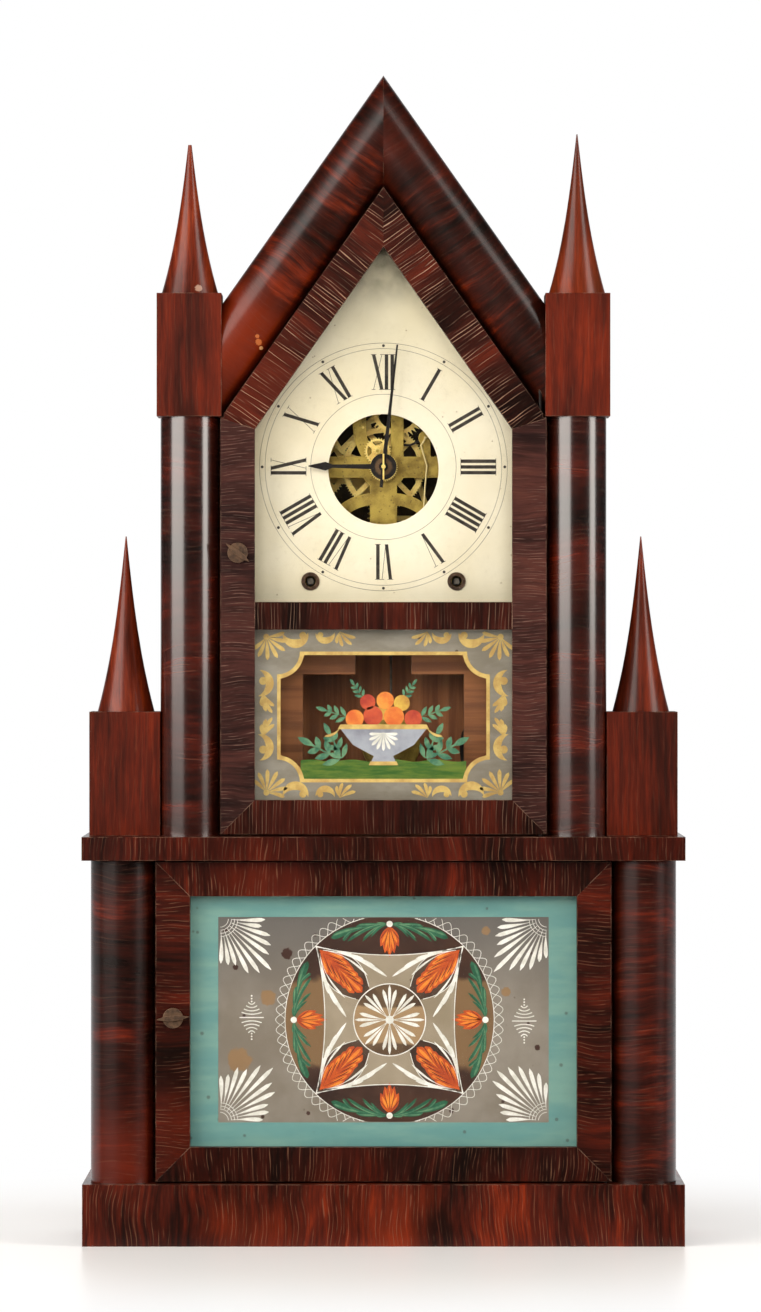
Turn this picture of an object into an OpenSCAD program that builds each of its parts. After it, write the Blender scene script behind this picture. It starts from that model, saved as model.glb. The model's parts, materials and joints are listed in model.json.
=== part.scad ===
// Double steeple clock with a two-storey case, an open-centre movement and a leaf spring drive.
// Millimetres, +Z up, front towards -Y, origin at the middle of the underside of the base board.

/* [Case] */
// Width of the plinth
plinth_w = 343; // [335:1:360]
// Height of the plinth
plinth_h = 35.3; // [30:0.1:45]
// Depth of the case from front to back
case_d = 108; // [104:1:125]
// Width of the lower storey across its half columns
lower_w = 335; // [330:1:336]
// Height of the lower storey between plinth and ledge
lower_h = 184.2; // [180:0.1:200]
// Width of the ledge between the storeys
ledge_w = 343.6; // [338:0.1:360]
// Thickness of the ledge
ledge_t = 13.5; // [11:0.1:18]
// Width of the upper storey across its half columns
upper_w = 256; // [250:1:262]
// Height of the apex of the gable above the floor
apex_h = 669.2; // [660:0.1:680]
// Slope of the gable from level, in degrees
gable_slope = 54.8; // [54:0.1:56]
// Thickness of the case boards
board_t = 10; // [8:0.5:12]
// Thickness of the backboards
back_t = 8; // [6:0.5:9]
// Thickness of the front boards behind the columns and the gable mouldings
front_t = 8; // [6:0.5:9]
// Thickness of the base board
base_t = 12; // [10:0.5:14]
// How far the crests of the lower columns stand behind the plinth front
lower_inset = 4.5; // [3:0.5:6]
// How far the upper front stands behind the lower one
upper_set_back = 10; // [8:0.5:12]

/* [Columns, mouldings and spires] */
// Width of a lower half column
lower_col_w = 36.6; // [34:0.1:38]
// Width of an upper half column
upper_col_w = 33.8; // [32:0.1:35]
// Width of the half-round gable moulding
moulding_w = 36.5; // [35:0.1:38]
// Width of an upper block, front and side
upper_block_w = 37; // [36:0.1:38]
// How far the upper blocks reach down past the eaves
block_drop = 14.7; // [12:0.1:18]
// How far the upper blocks rise past the roof at their inner sides
block_rise = 5.5; // [3:0.1:9]
// Width of a lower block, front and side
lower_block_w = 40.6; // [38:0.1:42]
// Height of a lower block
lower_block_h = 71; // [66:0.1:76]
// How far the lower blocks stand behind the ledge front
lower_block_inset = 26; // [20:1:30]
// Diameter of a spire at its foot
spire_d = 32.8; // [30:0.1:34]
// Height of an upper spire
upper_spire_h = 94.9; // [90:0.1:110]
// Height of a lower spire
lower_spire_h = 104; // [95:0.1:120]
// Length broken off the tip of the upper left spire
worn_tip = 9; // [4:0.5:14]

/* [Doors] */
// Thickness of a door
door_t = 13; // [12:0.5:15]
// Width of the door stiles and rails
rail_w = 19.6; // [18:0.1:21]
// Gap round a door
door_gap = 1; // [0.8:0.1:1.4]
// Gap between a closed door and the front boards behind it
door_stand = 0.6; // [0.5:0.1:1]
// How far the front boards reach in behind a door
door_lap = 5; // [4:0.5:5.5]
// Width of the rebate that holds a pane
rebate_w = 5; // [4:0.5:6]
// Depth of the rebate that holds a pane
rebate_d = 5; // [4:0.5:6]
// Thickness of a pane
glass_t = 2; // [1.5:0.1:2.5]
// Distance from the middle of the dial down to the lower edge of the middle rail
mid_rail_drop = 93.9; // [90:0.1:98]
// Height of the middle rail
mid_rail_h = 15.9; // [14:0.1:17]
// Diameter of a hinge pin
hinge_pin_d = 2; // [2:0.1:2.4]
// Distance of a lower hinge pin from the edge and the face of the door
hinge_inset = 3; // [2.8:0.1:3.4]
// Distance of an upper hinge pin from the edge of the door
upper_pin_in = 3.4; // [3.2:0.1:4]
// Distance of an upper hinge pin from the face of the door
upper_pin_deep = 2; // [1.9:0.1:2.1]
// Height of the upper latch above the ledge
upper_latch_z = 162; // [150:1:175]
// Height of the lower latch above the plinth
lower_latch_z = 94.2; // [80:0.1:110]
// Diameter of a latch rose
latch_d = 11.5; // [10:0.1:13]
// Length of the thumb bar of the upper latch
upper_bar_l = 17; // [15:0.5:19]
// Length of the thumb bar of the lower latch
lower_bar_l = 18.7; // [16:0.1:20]
// Turn of the upper thumb bar as it rests, in degrees
upper_bar_turn = -38; // [-60:1:0]
// Turn of the lower thumb bar as it rests, in degrees
lower_bar_turn = 5; // [-10:1:20]

/* [Dial and hands] */
// Distance from the apex down to the middle of the dial
dial_drop = 224.3; // [222:0.1:226]
// Half the width of the dial sheet
dial_half_w = 105; // [100:1:108]
// Thickness of the dial sheet
dial_t = 1; // [0.8:0.1:1.5]
// Diameter of the open centre of the dial
dial_open_d = 63.6; // [58:0.1:66]
// Distance from the middle of the dial down to the middle of its opening
dial_open_drop = 1.3; // [0:0.1:2]
// Diameter of a winding hole
winding_hole_d = 9.1; // [8.4:0.1:10]
// Length of the minute hand
minute_l = 70.6; // [62:0.1:73]
// Length of the hour hand
hour_l = 43.2; // [38:0.1:46]
// Diameter of the hub of the hour hand
hub_d = 15; // [13:0.5:17]
// Turn of the minute hand from upright, clockwise, in degrees
minute_turn = 6.5; // [0:0.5:12]

/* [Movement] */
// Distance from the middle of the clock to a winding arbor
winding_x = 42.1; // [41.6:0.1:42.6]
// Distance from the middle of the dial down to the winding arbors
winding_drop = 65.9; // [65:0.1:66.5]
// Thickness of a movement plate
plate_t = 1.5; // [1.2:0.1:2]
// Distance between the movement plates
plate_space = 29; // [28.6:0.1:31]
// Half the width of a movement plate
plate_half_w = 66; // [64:1:70]
// Height of a movement plate
plate_h = 164.6; // [162:0.1:166]
// Thickness of a wheel
wheel_t = 1.2; // [1:0.1:1.5]
// Radius of a drum
drum_r = 8; // [7:0.5:8.5]
// Radius of the escape wheel
escape_r = 16.8; // [16:0.1:17.4]
// Depth of the escape wheel teeth
escape_depth = 2.6; // [2.2:0.1:3]
// Height of the pendulum pivot above the middle of the dial
pendulum_rise = 41.1; // [40:0.1:43]
// Distance of the pendulum from the middle of the clock
pendulum_x = 4.4; // [3.5:0.1:5]
// Height of the middle of the bob above the ledge
bob_rise = 51; // [47:0.5:58]
// Radius of the bob
bob_r = 17; // [14:0.5:19]
// Thickness of the bob at its middle
bob_t = 7; // [5:0.5:8]
// Running clearance round an arbor, a pivot or a pin
run = 0.05; // [0.02:0.01:0.1]

/* [Seat, gong and drive] */
// Distance from the middle of the dial down to the lower edge of the seat blocks
seat_drop = 119.5; // [118:0.1:122]
// Thickness of the seat blocks
seat_t = 12; // [10:0.5:13]
// Gap between the seat blocks
seat_gap = 32.4; // [28:0.1:36]
// Outer radius of the gong coil
gong_r = 34; // [30:0.5:36]
// Turns of the gong coil
gong_turns = 4; // [3:1:5]
// Diameter of the gong wire
gong_wire_d = 2.4; // [2:0.1:3]
// Number of leaves in the spring
leaf_count = 5; // [3:1:6]
// Thickness of a leaf
leaf_t = 1.6; // [1.2:0.1:2]
// Width of a leaf
leaf_w = 40; // [34:1:44]
// Bend radius of the top leaf
leaf_bend_r = 300; // [280:5:340]
// Radius of the groove of an accelerating pulley
pulley_r = 35.5; // [32:0.5:36]
// Height of the pulleys above the plinth
pulley_z = 104.7; // [100:0.1:112]
// Diameter of the gut cords to the drums
gut_d = 1.6; // [1.2:0.1:2]
// Diameter of the cords to the spring
spring_cord_d = 2; // [1.6:0.1:2.4]

/* [Hidden] */
$fn = 48;

// Levels and planes of the case
front_y = -case_d / 2;
back_y = case_d / 2;
ledge_z = plinth_h + lower_h;
deck_z = ledge_z + ledge_t;
lower_plane_y = front_y + lower_inset + lower_col_w / 2;
upper_plane_y = lower_plane_y + upper_set_back;
backboard_y = back_y - back_t;
rise = tan(gable_slope);
lower_half = lower_w / 2;
upper_half = upper_w / 2;
lower_inner = lower_half - board_t;
upper_inner = upper_half - board_t;
lower_column_x = lower_half - lower_col_w / 2;
upper_column_x = upper_half - upper_col_w / 2;
upper_block_inner = upper_column_x - upper_block_w / 2;
upper_block_y = upper_plane_y;
lower_block_x = upper_half + lower_block_w / 2;
lower_block_y = front_y + lower_block_inset + lower_block_w / 2;
eave_z = apex_h - upper_half * rise;
column_top_z = eave_z - block_drop;
upper_block_top = apex_h - upper_block_inner * rise + block_rise;

// Doors
lower_door_half = lower_half - lower_col_w - door_gap;
lower_door_z0 = plinth_h + door_gap;
lower_door_z1 = ledge_z - door_gap;
upper_door_half = upper_half - upper_col_w - door_gap;
upper_door_z0 = deck_z + door_gap;
upper_door_apex = apex_h - (moulding_w + door_gap) / cos(gable_slope);
lower_door_back = lower_plane_y - door_stand;
upper_door_back = upper_plane_y - door_stand;
lower_door_front = lower_door_back - door_t;
upper_door_front = upper_door_back - door_t;
lower_hinge_x = lower_door_half - hinge_inset;
lower_hinge_y = lower_door_front + hinge_inset;
upper_hinge_x = upper_door_half - upper_pin_in;
upper_hinge_y = upper_door_front + upper_pin_deep;
// The corner of a gable rail is cut back by this much where it would swing against a block
corner_ease = 2;
hinge_r = hinge_pin_d / 2;
pin_depth = 6;
pane_clear = 0.3;
latch_shaft_r = 2;
tongue_t = 1.5;
tongue_l = 12;

// Dial and arbors, as points of the front view
dial_y = -8;
dial_c = [0, apex_h - dial_drop];
open_c = dial_c - [0, dial_open_drop];
mid_rail_z = dial_c[1] - mid_rail_drop;
dial_bottom = mid_rail_z + 1.5;
dial_apex = upper_door_apex - rail_w / cos(gable_slope) + 20;
support_x = dial_half_w - 13;
winding_r = winding_hole_d / 2;

front_plate_y = 4;
inside_y = front_plate_y + plate_t;
back_plate_y = inside_y + plate_space;
plate_bottom = dial_c[1] - seat_drop + seat_t;
plate_top = plate_bottom + plate_h;

// A wheel tooth rises and falls by these shares of its module, and a pinion leaf by the next two
wheel_add = 0.7;
wheel_ded = 1;
leaf_add = 0.6;
leaf_ded = 1;

// Tooth counts and modules of the trains
great_n = 72;
great_m = 1;
second_n = 80;
second_m = 0.9;
centre_n = 96;
centre_m = 0.5;
third_n = 72;
third_m = 0.55;
pinwheel_n = 72;
pinwheel_m = 0.8;
warning_n = 64;
warning_m = 0.6;
count_n = 78;
count_m = 0.6;
leaves = 8;
third_leaves = 9;
motion_leaves = 10;
motion_n = 30;
motion_m = 0.5;
hour_n = 40;
hour_m = 0.4;
escape_n = 42;

function polar(r, a) = [r * cos(a), r * sin(a)];
function mirrored(p) = [-p[0], p[1]];
function bearing(a, b) = atan2(b[1] - a[1], b[0] - a[0]);
function gear_gap(n, pinion, m) = (n + pinion) * m / 2;

// The point at ra from a and rb from b, to the left of the way from a to b when side is 1
function meet(a, b, ra, rb, side) =
    let (d = norm(b - a), along = (ra * ra - rb * rb + d * d) / (2 * d))
    a + polar(along, bearing(a, b)) + polar(side * sqrt(ra * ra - along * along), bearing(a, b) + 90);

// Turn of a pinion at b whose leaves mesh with a wheel at a that has a tooth at angle zero
function mesh(a, b, n, pinion) =
    let (t = bearing(a, b), f = t * n / 360)
    t + 180 - (0.5 - f) * 360 / pinion;

centre_p = dial_c;
winding_p = [winding_x, dial_c[1] - winding_drop];
second_p = meet(winding_p, centre_p, gear_gap(great_n, leaves, great_m),
    gear_gap(second_n, leaves, second_m), -1);
escape_p = dial_c + [8, 33.4];
third_p = meet(centre_p, escape_p, gear_gap(centre_n, leaves, centre_m),
    gear_gap(third_n, third_leaves, third_m), 1);
motion_p = dial_c + polar(gear_gap(motion_n, motion_leaves, motion_m), 110);
strike_p = mirrored(winding_p);
pinwheel_p = mirrored(second_p);
warning_p = pinwheel_p + polar(gear_gap(pinwheel_n, leaves, pinwheel_m), 115);
fly_p = warning_p + polar(gear_gap(warning_n, leaves, warning_m), 75);
count_p = pinwheel_p + polar(gear_gap(count_n, leaves, count_m), 185);
hammer_p = dial_c + [-4, -78.9];

// The verge spans ten tooth gaps, and its pallets just clear the tips at mid swing
pallet_gaps = 10;
pallet_half = pallet_gaps * 180 / escape_n;
verge_turn = -45;
verge_p = escape_p + polar(escape_r / cos(pallet_half), verge_turn);
pallet_clear = 0.15;

// Layers of the movement, from front to back
escape_y = inside_y + 2.1;
great_y = inside_y + 2.5;
great_t = 1.6;
ratchet_y = great_y + great_t + 0.2;
ratchet_t = 1.2;
drum_y = ratchet_y + ratchet_t + 0.2;
flange_t = 0.8;
drum_t = 14;
centre_y = inside_y + 6.5;
third_y = inside_y + 11.5;
warning_y = inside_y + 17.5;
pinwheel_y = back_plate_y - 5.9;
second_y = back_plate_y - 3.5;
fly_y = warning_y + 2;
motion_y = front_plate_y - 3.2;
hour_y = motion_y - 2.4;
cord_y = drum_y + flange_t + drum_t / 2;
hour_hand_y = -13;
minute_hand_y = -15.6;
hand_pin_y = -17.2;
pendulum_y = back_plate_y + plate_t + 4;
hammer_y = backboard_y - 2.8;

// Arbor radii
fine_r = 0.8;
second_arbor_r = 1.4;
centre_arbor_r = 1.2;
winding_arbor_r = 2.4;
pivot_r = 0.6;
square_w = 3.2;
ratchet_n = 18;
ratchet_r = 9;
ratchet_depth = 1.6;
click_p = [0, 14];
click_r = 1;
flange_r = drum_r + 3;
pin_ring_r = 24;
strike_pins = 8;
pipe_r = 2.2;
hole_side = 12;

// Drive
base_top = base_t;
saddle_h = 12;
spring_y = 15;
leaf_gap = 0.05;
leaf_foot = base_top + saddle_h + 0.1;
leaf_c = leaf_foot + leaf_bend_r + leaf_count * (leaf_t + leaf_gap);
hub_r = 7.6;
cord_clear = 0.15;
seam = 0.05;
spring_cord_r = spring_cord_d / 2;
gut_r = gut_d / 2;
spring_cord_run = hub_r + spring_cord_r + cord_clear;
pulley_p = [lower_inner - pulley_r - 7.5, plinth_h + pulley_z];
spring_cord_x = pulley_p[0] - spring_cord_run;
spring_cord_y = spring_y + 15;
leaf_half = spring_cord_x + 3.4;
stud_r = 4;
drum_run = drum_r + gut_r + cord_clear;
pulley_run = pulley_r + gut_r + cord_clear;
line_turn = bearing(winding_p, pulley_p)
    + acos((drum_run + pulley_run) / norm(pulley_p - winding_p));
line_top = winding_p + polar(drum_run, line_turn);
line_foot = pulley_p - polar(pulley_run, line_turn);
function line_x(z) = line_top[0] + (line_top[1] - z) * tan(line_turn);
bolt_r = 1.5;
bolt_y = leaf_w / 2 + 2.5;
clamp_half = leaf_w / 2 + 5;
clamp_z = leaf_foot + leaf_count * (leaf_t + leaf_gap) + 0.2;

// Pins, latches and studs
pin_grip = 10;
upper_pin_foot = upper_door_apex - upper_hinge_x * rise - pin_grip;
upper_pin_top = upper_pin_foot + pin_grip + 15.5;
upper_latch_p = [rail_w / 2 - upper_door_half, deck_z + upper_latch_z];
lower_latch_p = [rail_w / 2 - lower_door_half, plinth_h + lower_latch_z];
second_pivot_r = 0.8;
winding_pivot_r = 1.5;
motion_stud_r = 0.9;
count_stud_r = 1.4;
count_y = front_plate_y - 3.5;
spoke_w = 3;
ratchet_turn = 3;
pillar_pin_r = 1.4;
pillar_p = [
    [plate_half_w - 5, plate_bottom + 4.1], [5 - plate_half_w, plate_bottom + 4.1],
    [plate_half_w - 6, plate_top - 6], [6 - plate_half_w, plate_top - 6]
];

// Pendulum, hammer and gong
pendulum_p = [pendulum_x, dial_c[1] + pendulum_rise];
bob_z = deck_z + bob_rise;
pendulum_pin_r = 1;
rod_r = 0.7;
gong_p = [75, deck_z + 50];
gong_y = backboard_y - 3.5;
gong_inner = 8.1;
gong_end = 75;
coil_rings = 24;
coil_pitch = (gong_r - gong_inner) / gong_turns;
hammer_arbor_r = 1;
head_reach = gong_r + gong_wire_d / 2 + 4.8;
head_p = gong_p + polar(head_reach, bearing(gong_p, hammer_p)
    - acos(head_reach / norm(hammer_p - gong_p)));
echo(str("least gap of the gong coil to itself: ", coil_pitch - gong_wire_d));

// Draws a front view profile as a slab from y0 on, t deep
module slab(y0, t) {
    translate([0, y0 + t, 0]) rotate([90, 0, 0]) linear_extrude(t) children();
}

// A round bar from front to back at point p of the front view
module bar(p, r, y0, y1) {
    translate([p[0], y1, p[1]]) rotate([90, 0, 0]) cylinder(r = r, h = y1 - y0);
}

// The same piece on the right and on the left
module both() {
    children();
    mirror([1, 0, 0]) children();
}

// A box from its low corner to its high corner
module block(low, high) {
    translate(low) cube(high - low);
}

// Case

module plinth() {
    color([0.30, 0.10, 0.06]) {
        difference() {
            block([-plinth_w / 2, front_y, 0], [plinth_w / 2, lower_plane_y + front_t, plinth_h]);
            hinge_hole(lower_hinge_x, lower_hinge_y, plinth_h - pin_depth, plinth_h + 1);
        }
        both() block([lower_inner, lower_plane_y + front_t, 0], [plinth_w / 2, back_y, plinth_h]);
    }
}

module hinge_hole(x, y, z0, z1) {
    translate([x, y, z0]) cylinder(r = hinge_r + run, h = z1 - z0);
}

module base_board() {
    color([0.50, 0.36, 0.22]) {
        block([-lower_inner, lower_plane_y + front_t, 0], [lower_inner, back_y, base_top]);
        difference() {
            block([-30, spring_y - clamp_half, base_top], [30, spring_y + clamp_half, base_top + saddle_h]);
            for (s = [-1, 1]) translate([0, spring_y + s * bolt_y, base_top + 1])
                cylinder(r = bolt_r + run, h = saddle_h);
        }
    }
}

module lower_carcass() {
    color([0.36, 0.16, 0.10]) both() {
        block([lower_inner, lower_plane_y + front_t, plinth_h], [lower_half, back_y, ledge_z]);
        block([lower_door_half - door_lap, lower_plane_y, plinth_h],
            [lower_half, lower_plane_y + front_t, ledge_z]);
    }
}

module lower_backboard() {
    color([0.46, 0.32, 0.20]) {
        block([-lower_inner, backboard_y, base_top], [lower_inner, back_y, ledge_z]);
    }
}

// A half-round length with its flat side on the plane y = 0, its crest to the front
module half_round(w, h) {
    intersection() {
        cylinder(d = w, h = h, $fn = 96);
        block([-w, -w, -1], [w, 0, h + 1]);
    }
}

module lower_columns() {
    color([0.34, 0.09, 0.06]) both()
        translate([lower_column_x, lower_plane_y, plinth_h]) half_round(lower_col_w, lower_h);
}

module ledge() {
    slot_w = gut_d + 5;
    slot_x = line_x(ledge_z + ledge_t / 2);
    color([0.28, 0.10, 0.06]) difference() {
        block([-ledge_w / 2, front_y, ledge_z], [ledge_w / 2, back_y, deck_z]);
        hinge_hole(lower_hinge_x, lower_hinge_y, ledge_z - 1, ledge_z + pin_depth);
        hinge_hole(upper_hinge_x, upper_hinge_y, deck_z - pin_depth, deck_z + 1);
        both() block([slot_x - slot_w, cord_y - slot_w / 2, ledge_z - 1],
            [slot_x + slot_w, cord_y + slot_w / 2, deck_z + 1]);
    }
}

// The height of a line that runs parallel to the roof, a given way inside it, at x
function roof_z(x, inside) = apex_h - inside / cos(gable_slope) - x * rise;

module upper_carcass() {
    inner = upper_door_half - door_lap;
    color([0.36, 0.16, 0.10]) both() {
        slab(upper_plane_y + front_t, back_y - upper_plane_y - front_t)
            polygon([
                [upper_inner, deck_z],
                [upper_half, deck_z],
                [upper_half, roof_z(upper_half, board_t)],
                [upper_inner, roof_z(upper_inner, board_t)]
            ]);
        slab(upper_plane_y, front_t)
            polygon([
                [inner, deck_z],
                [upper_half, deck_z],
                [upper_half, eave_z],
                [inner, roof_z(inner, 0)]
            ]);
    }
}

module roof() {
    inner = upper_door_half - door_lap;
    cover = moulding_w + door_gap + door_lap;
    color([0.36, 0.16, 0.10]) both() {
        slab(upper_plane_y + front_t, back_y - upper_plane_y - front_t)
            polygon([
                [0, apex_h],
                [0, roof_z(0, board_t)],
                [upper_half, roof_z(upper_half, board_t)],
                [upper_half, eave_z]
            ]);
        slab(upper_plane_y, front_t)
            polygon([
                [0, apex_h],
                [0, roof_z(0, cover)],
                [inner, roof_z(inner, cover)],
                [inner, roof_z(inner, 0)]
            ]);
    }
}

module upper_backboard() {
    color([0.46, 0.32, 0.20]) slab(backboard_y, back_t)
        polygon([
            [-upper_inner, deck_z],
            [upper_inner, deck_z],
            [upper_inner, roof_z(upper_inner, board_t)],
            [0, roof_z(0, board_t)],
            [-upper_inner, roof_z(upper_inner, board_t)]
        ]);
}

module upper_columns() {
    color([0.34, 0.09, 0.06]) both()
        translate([upper_column_x, upper_plane_y, deck_z]) half_round(upper_col_w, column_top_z - deck_z);
}

// A half-round bar along the slope, mitred at the apex and stopped against the block
module gable_moulding() {
    reach = 60;
    intersection() {
        translate([0, upper_plane_y, apex_h - moulding_w / 2 / cos(gable_slope)])
            rotate([0, 90 + gable_slope, 0])
                translate([0, 0, -reach])
                    cylinder(d = moulding_w, h = 2 * reach + upper_block_inner / cos(gable_slope), $fn = 96);
        block([0, upper_plane_y - moulding_w, deck_z], [upper_block_inner, upper_plane_y, apex_h + 1]);
    }
}

module gable_mouldings() {
    color([0.42, 0.13, 0.08]) {
        difference() {
            gable_moulding();
            hinge_hole(upper_hinge_x, upper_hinge_y, column_top_z - 10, upper_pin_top + 1);
        }
        mirror([1, 0, 0]) gable_moulding();
    }
}

// A block stands on its column in front and is notched over the slope of the roof behind
module upper_block() {
    outer = upper_column_x + upper_block_w / 2;
    slab(upper_block_y - upper_block_w / 2, upper_block_w / 2)
        polygon([
            [upper_block_inner, column_top_z],
            [outer, column_top_z],
            [outer, upper_block_top],
            [upper_block_inner, upper_block_top]
        ]);
    slab(upper_block_y, upper_block_w / 2)
        polygon([
            [upper_block_inner, roof_z(upper_block_inner, 0)],
            [upper_half, eave_z],
            [upper_half, column_top_z],
            [outer, column_top_z],
            [outer, upper_block_top],
            [upper_block_inner, upper_block_top]
        ]);
}

module spire_blocks() {
    half = lower_block_w / 2;
    color([0.42, 0.14, 0.08]) both() {
        upper_block();
        block([lower_block_x - half, lower_block_y - half, deck_z],
            [lower_block_x + half, lower_block_y + half, deck_z + lower_block_h]);
    }
}

// Radius of a spire at a share s of its height below the tip
function spire_r(s) = spire_d / 2 * (0.65 * s + 0.35 * s * s * s);

module spire(h, lost) {
    steps = 14;
    top = lost / h;
    rotate_extrude($fn = 64) polygon([
        [0, 0],
        for (i = [0 : steps]) let (s = 1 - (1 - max(top, 0.03)) * i / steps) [spire_r(s), (1 - s) * h],
        [0, (1 - max(top, 0.03)) * h]
    ]);
}

module spires() {
    color([0.38, 0.11, 0.06]) {
        translate([upper_column_x, upper_block_y, upper_block_top]) spire(upper_spire_h, 0);
        translate([-upper_column_x, upper_block_y, upper_block_top]) spire(upper_spire_h, worn_tip);
        both() translate([lower_block_x, lower_block_y, deck_z + lower_block_h]) spire(lower_spire_h, 0);
    }
}

module paper_label() {
    color([0.80, 0.74, 0.60]) {
        block([-75, backboard_y - 0.2, plinth_h + 30], [75, backboard_y, ledge_z - 18]);
    }
}

// A flat strip of width w between two points of the front view
module strip(a, b, w) {
    translate(a) rotate(bearing(a, b)) translate([0, -w / 2]) square([norm(b - a), w]);
}

// A rectangle of the front view
module area(x0, x1, z0, z1) {
    translate([x0, z0]) square([x1 - x0, z1 - z0]);
}

// A round wire between two points of the front view, in the plane y
module wire(a, b, r, y) {
    translate([a[0], y, a[1]]) rotate([0, 90 - bearing(a, b), 0]) cylinder(r = r, h = norm(b - a));
}

// A round cord bent about p from angle a on
module bent(p, radius, r, a, sweep, y) {
    translate([p[0], y, p[1]]) rotate([90, 0, 0]) rotate([0, 0, a])
        rotate_extrude(angle = sweep, $fn = 96) translate([radius, 0]) circle(r = r, $fn = 24);
}

// Doors: each frame piece has a face layer and a narrower layer behind it that leaves the rebate

module lower_stile(w) {
    polygon([
        [lower_door_half, lower_door_z0],
        [lower_door_half, lower_door_z1],
        [lower_door_half - w, lower_door_z1 - w],
        [lower_door_half - w, lower_door_z0 + w]
    ]);
}

module lower_rail(w) {
    inner = lower_door_half - w;
    polygon([
        [-lower_door_half, lower_door_z0],
        [lower_door_half, lower_door_z0],
        [inner, lower_door_z0 + w],
        [-inner, lower_door_z0 + w]
    ]);
    polygon([
        [-lower_door_half, lower_door_z1],
        [-inner, lower_door_z1 - w],
        [inner, lower_door_z1 - w],
        [lower_door_half, lower_door_z1]
    ]);
}

module lower_pin_holes() {
    hinge_hole(lower_hinge_x, lower_hinge_y, lower_door_z0 - 1, lower_door_z0 + pin_grip + 0.5);
    hinge_hole(lower_hinge_x, lower_hinge_y, lower_door_z1 - pin_grip - 0.5, lower_door_z1 + 1);
}

module lower_door_stiles() {
    color([0.32, 0.10, 0.07]) difference() {
        both() {
            slab(lower_door_front, door_t - rebate_d) lower_stile(rail_w);
            slab(lower_door_back - rebate_d, rebate_d) lower_stile(rail_w - rebate_w);
        }
        lower_pin_holes();
        bar(lower_latch_p, latch_shaft_r + run, lower_door_front - 1, lower_door_back + 1);
    }
}

module lower_door_rails() {
    color([0.32, 0.10, 0.07]) difference() {
        union() {
            slab(lower_door_front, door_t - rebate_d) lower_rail(rail_w);
            slab(lower_door_back - rebate_d, rebate_d) lower_rail(rail_w - rebate_w);
        }
        lower_pin_holes();
    }
}

module lower_tablet() {
    edge = rail_w - rebate_w + pane_clear;
    color([0.62, 0.64, 0.66]) slab(lower_door_back - rebate_d, glass_t)
        area(edge - lower_door_half, lower_door_half - edge, lower_door_z0 + edge, lower_door_z1 - edge);
}

module hinge_pin(x, y, z0, z1) {
    translate([x, y, z0]) cylinder(r = hinge_r, h = z1 - z0);
}

module lower_door_pins() {
    reach = pin_depth - 0.5;
    color([0.55, 0.50, 0.40]) {
        hinge_pin(lower_hinge_x, lower_hinge_y, plinth_h - reach, lower_door_z0 + pin_grip);
        hinge_pin(lower_hinge_x, lower_hinge_y, lower_door_z1 - pin_grip, ledge_z + reach);
    }
}

// Height of the inner gable edge of a frame layer of width w at x
function gable_z(x, w) = upper_door_apex - w / cos(gable_slope) - x * rise;

module upper_stile(w) {
    inner = upper_door_half - w;
    polygon([
        [upper_door_half, upper_door_z0],
        [upper_door_half, gable_z(upper_door_half, 0)],
        [inner, gable_z(inner, w)],
        [inner, upper_door_z0 + w]
    ]);
}

module upper_rails(w) {
    inner = upper_door_half - w;
    polygon([
        [-upper_door_half, upper_door_z0],
        [upper_door_half, upper_door_z0],
        [inner, upper_door_z0 + w],
        [-inner, upper_door_z0 + w]
    ]);
    polygon([
        [0, upper_door_apex],
        [-upper_door_half, gable_z(upper_door_half, 0)],
        [-inner, gable_z(inner, w)],
        [0, gable_z(0, w)],
        [inner, gable_z(inner, w)],
        [upper_door_half, gable_z(upper_door_half, 0)]
    ]);
    lip = rail_w - w;
    area(-inner, inner, mid_rail_z + lip, mid_rail_z + mid_rail_h - lip);
}

module upper_pin_holes() {
    hinge_hole(upper_hinge_x, upper_hinge_y, upper_door_z0 - 1, upper_door_z0 + pin_grip + 0.5);
    hinge_hole(upper_hinge_x, upper_hinge_y, upper_pin_foot - 0.5, upper_pin_top);
}

module upper_door_stiles() {
    color([0.32, 0.10, 0.07]) difference() {
        both() {
            slab(upper_door_front, door_t - rebate_d) upper_stile(rail_w);
            slab(upper_door_back - rebate_d, rebate_d) upper_stile(rail_w - rebate_w);
        }
        upper_pin_holes();
        bar(upper_latch_p, latch_shaft_r + run, upper_door_front - 1, upper_door_back + 1);
    }
}

module upper_door_rails() {
    color([0.32, 0.10, 0.07]) difference() {
        union() {
            slab(upper_door_front, door_t - rebate_d) upper_rails(rail_w);
            slab(upper_door_back - rebate_d, rebate_d) upper_rails(rail_w - rebate_w);
        }
        upper_pin_holes();
        both() block([upper_door_half - corner_ease, upper_door_front - 1, column_top_z - 0.5],
            [upper_door_half + 1, upper_door_back + 1, column_top_z + corner_ease * rise]);
    }
}

module dial_glass() {
    edge = rail_w - rebate_w + pane_clear;
    side = upper_door_half - edge;
    foot = mid_rail_z + mid_rail_h - rebate_w + pane_clear;
    color([0.80, 0.86, 0.88]) slab(upper_door_back - rebate_d, glass_t)
        polygon([
            [-side, foot],
            [side, foot],
            [side, gable_z(side, edge)],
            [0, gable_z(0, edge)],
            [-side, gable_z(side, edge)]
        ]);
}

module upper_tablet() {
    edge = rail_w - rebate_w + pane_clear;
    side = upper_door_half - edge;
    color([0.45, 0.52, 0.62]) slab(upper_door_back - rebate_d, glass_t)
        area(-side, side, upper_door_z0 + edge, mid_rail_z + rebate_w - pane_clear);
}

module upper_door_pins() {
    color([0.55, 0.50, 0.40]) {
        hinge_pin(upper_hinge_x, upper_hinge_y, deck_z - pin_depth + 0.5, upper_door_z0 + pin_grip);
        hinge_pin(upper_hinge_x, upper_hinge_y, upper_pin_foot, upper_pin_top);
    }
}

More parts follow.
